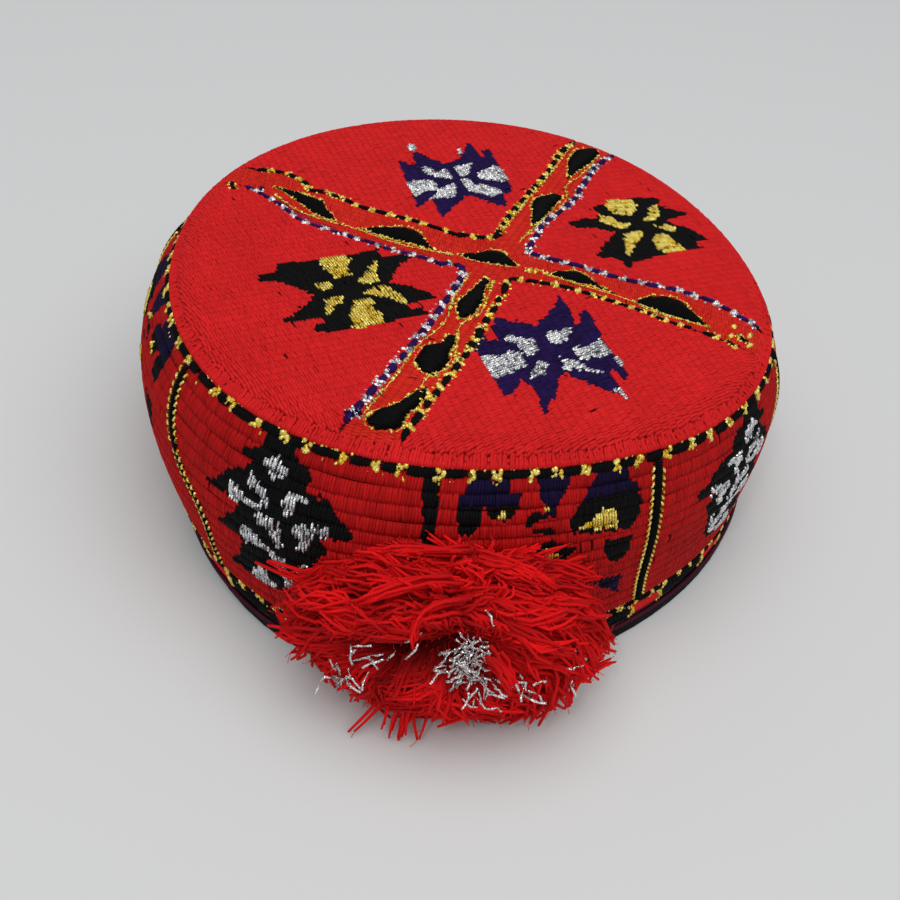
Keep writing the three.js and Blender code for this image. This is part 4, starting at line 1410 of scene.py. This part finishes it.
def woven(name, dark, light, threads_per_metre, sheen):
    """Plain cloth: two crossed sets of threads."""
    material, tree, shader = new_material(name, light, 0.85)
    sets = [
        texture(
            tree, "ShaderNodeTexWave", bands_direction=direction, Scale=threads_per_metre / WAVE_PERIOD,
            Distortion=1.5, **{"Detail Scale": 3.0}).outputs["Fac"]
        for direction in ("DIAGONAL", "Z")]
    crossed = combine(tree, "MULTIPLY", *sets)
    colour_by(tree, shader, crossed, (dark, light), (0.0, 0.7))
    raise_by(tree, shader, crossed, 0.5, CLOTH_BUMP)
    shader.inputs["Sheen Weight"].default_value = sheen
    shader.inputs["Specular IOR Level"].default_value = 0.15
    return material


FLOSS = {  # thread: slot, material's name, dark shade, light shade, what else differs from plain floss
    # Painted shade: band_red is the crown's red made darker, for the upright band that gets less light than
    # the top.
    "band_red": ("red_embroidery", "band_red_floss_painted_shade", (0.31, 0.003, 0.0034), (0.53, 0.007, 0.007), {}),
    "band_navy": (
        "navy_thread", "dark_navy_floss", (0.002, 0.001, 0.01), (0.01, 0.003, 0.04), {"sheen": 0.03}),
    "red": ("red_embroidery", "red_floss", (0.58, 0.011, 0.012), (0.78, 0.017, 0.019), {}),
    "orange": ("orange_embroidery", "orange_floss", (0.5, 0.011, 0.006), (0.74, 0.026, 0.014), {}),
    "maroon": ("orange_embroidery", "maroon_floss", (0.3, 0.008, 0.02), (0.5, 0.02, 0.05), {}),
    "black": (
        "black_thread", "black_floss", (0.0006, 0.0006, 0.001), (0.003, 0.003, 0.004), {"sheen": 0.02}),
    "navy": ("navy_thread", "navy_floss", (0.006, 0.0015, 0.03), (0.02, 0.005, 0.085), {"sheen": 0.05}),
    "plum": ("purple_thread", "plum_floss", (0.02, 0.002, 0.008), (0.1, 0.012, 0.035), {"sheen": 0.05}),
    "purple": (
        "purple_thread", "purple_floss", (0.012, 0.002, 0.045), (0.035, 0.007, 0.13), {"sheen": 0.05}),
    # The wool's near-black dark colour is where its painted shade, at the yarns' roots and in the hollows,
    # ends.
    "wool": (
        "red_wool", "red_wool_yarn", (0.05, 0.0004, 0.0006), (0.84, 0.008, 0.01),
        {"roughness": 0.85, "sheen": 0.4, "grain": 0.9, "own": 0.85, "worn": 0.35}),
}
METAL = {  # thread: slot, material's name, dark, middle and light colour, roughness, metallic; the light colour is painted glint
    "gold": (
        "gold_thread", "gold_wound_thread",
        (0.24, 0.13, 0.005), (1.0, 0.66, 0.03), (1.0, 0.86, 0.22), 0.25, 0.5),
    "silver": (
        "silver_thread", "silver_wound_thread",
        (0.1, 0.1, 0.13), (0.6, 0.61, 0.65), (1.0, 1.0, 1.0), 0.22, 0.7),
    "tinsel": (
        "silver_thread", "silver_foil", (0.2, 0.2, 0.21), (0.8, 0.8, 0.8), (1.0, 1.0, 1.0), 0.15, 0.75),
}


# Painted shade: the heart is coloured a very dark red, the shade deep among the yarns.
HEART_PAINTED_SHADE = ("wool_heart_painted_shade", (0.08, 0.001, 0.002), (0.2, 0.003, 0.005))
CLOTHS = {  # CAD pieces: their material's name, dark shade, light shade, threads in a metre, sheen
    # Painted shade: the backing is a dark red, which stands in for the shade where it shows between and
    # under the stitches.
    ("crown_top", "rim_roll", "side_band"):
        ("cotton_backing", (0.1, 0.006, 0.008), (0.24, 0.012, 0.014), 2600, 0.2),
    ("edge_binding",): ("black_cotton", (0.0015, 0.001, 0.0015), (0.009, 0.006, 0.008), 1500, 0.01),
    ("pompom_tie",): ("tie_cord_wool", (0.25, 0.006, 0.008), (0.5, 0.015, 0.016), 900, 0.2),
}


def thread_materials():
    """The slot and material of each thread, by its name."""
    made = {}
    for thread, (slot, name, dark, light, settings) in FLOSS.items():
        made[thread] = (slot, floss(name, dark, light, **settings))
    for thread, (slot, *look) in METAL.items():
        made[thread] = (slot, metal_floss(*look))
    return made


def dress_cad_nodes():
    for names, look in CLOTHS.items():
        material = woven(*look)
        for name in names:
            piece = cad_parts[name]
            piece.data.materials.clear()
            piece.data.materials.append(material)


# Stage, light and camera

FLOOR_GREY = (0.72, 0.73, 0.735)


def stage():
    bpy.ops.mesh.primitive_plane_add(size=6, location=(0, 0, 0))
    floor = bpy.context.object
    floor.name = "floor"
    material, _, shader = new_material("pale_floor", FLOOR_GREY, 0.9)
    shader.inputs["Base Color"].default_value = (*FLOOR_GREY, 1)
    shader.inputs["Specular IOR Level"].default_value = 0.1
    floor.data.materials.append(material)


LIGHT_AIM = (0, 0, 0.03)
LIGHTS = [  # name, place, size, power, colour
    ("ceiling", (0.15, -0.25, 1.6), 2.5, 23.0, (1, 0.99, 0.97)),
    ("lamp", (-0.25, -0.7, 1.0), 0.12, 1.0, (1, 0.97, 0.93)),
]
ROOM_COLOUR = (0.93, 0.96, 1.0, 1)
ROOM_STRENGTH = 0.3


def light(name, place, size, power, colour):
    lamp = bpy.data.lights.new(name, "AREA")
    lamp.shape = "DISK"
    lamp.size = size
    lamp.energy = power
    lamp.color = colour
    holder = bpy.data.objects.new(name, lamp)
    bpy.context.scene.collection.objects.link(holder)
    holder.location = place
    holder.rotation_euler = (Vector(LIGHT_AIM) - Vector(place)).to_track_quat("-Z", "Y").to_euler()


def lights():
    bpy.context.scene.view_settings.view_transform = "Standard"
    world = bpy.data.worlds.new("soft_room")
    bpy.context.scene.world = world
    world.use_nodes = True
    background = world.node_tree.nodes["Background"]
    background.inputs[0].default_value = ROOM_COLOUR
    background.inputs[1].default_value = ROOM_STRENGTH
    for row in LIGHTS:
        light(*row)


CAMERA_PLACE = (-0.45, -290.1, 265.5)  # from the hat's axis
CAMERA_PITCH = 43.4  # degrees down from level
CAMERA_ROLL = 7.06
CAMERA_LENS = 46.0
SENSOR_WIDTH = 36.0


def camera():
    data = bpy.data.cameras.new("camera")
    data.lens = CAMERA_LENS
    data.sensor_width = SENSOR_WIDTH
    data.clip_start, data.clip_end = 0.01, 20
    holder = bpy.data.objects.new("camera", data)
    bpy.context.scene.collection.objects.link(holder)
    pitch = Matrix.Rotation(math.radians(90 - CAMERA_PITCH), 4, "X")
    roll = Matrix.Rotation(math.radians(CAMERA_ROLL), 4, "Z")
    place = Matrix.Translation(Vector((np.array(CAMERA_PLACE) + AXIS) * MM))
    holder.matrix_world = place @ pitch @ roll
    bpy.context.scene.camera = holder


camera()
stage()
lights()
crown()
rim()
band_rows()
upright_lines()
seam_line()
hem_border()
pompom()
tinsel()
build_threads(thread_materials())
pompom_heart(floss(*HEART_PAINTED_SHADE))
dress_cad_nodes()
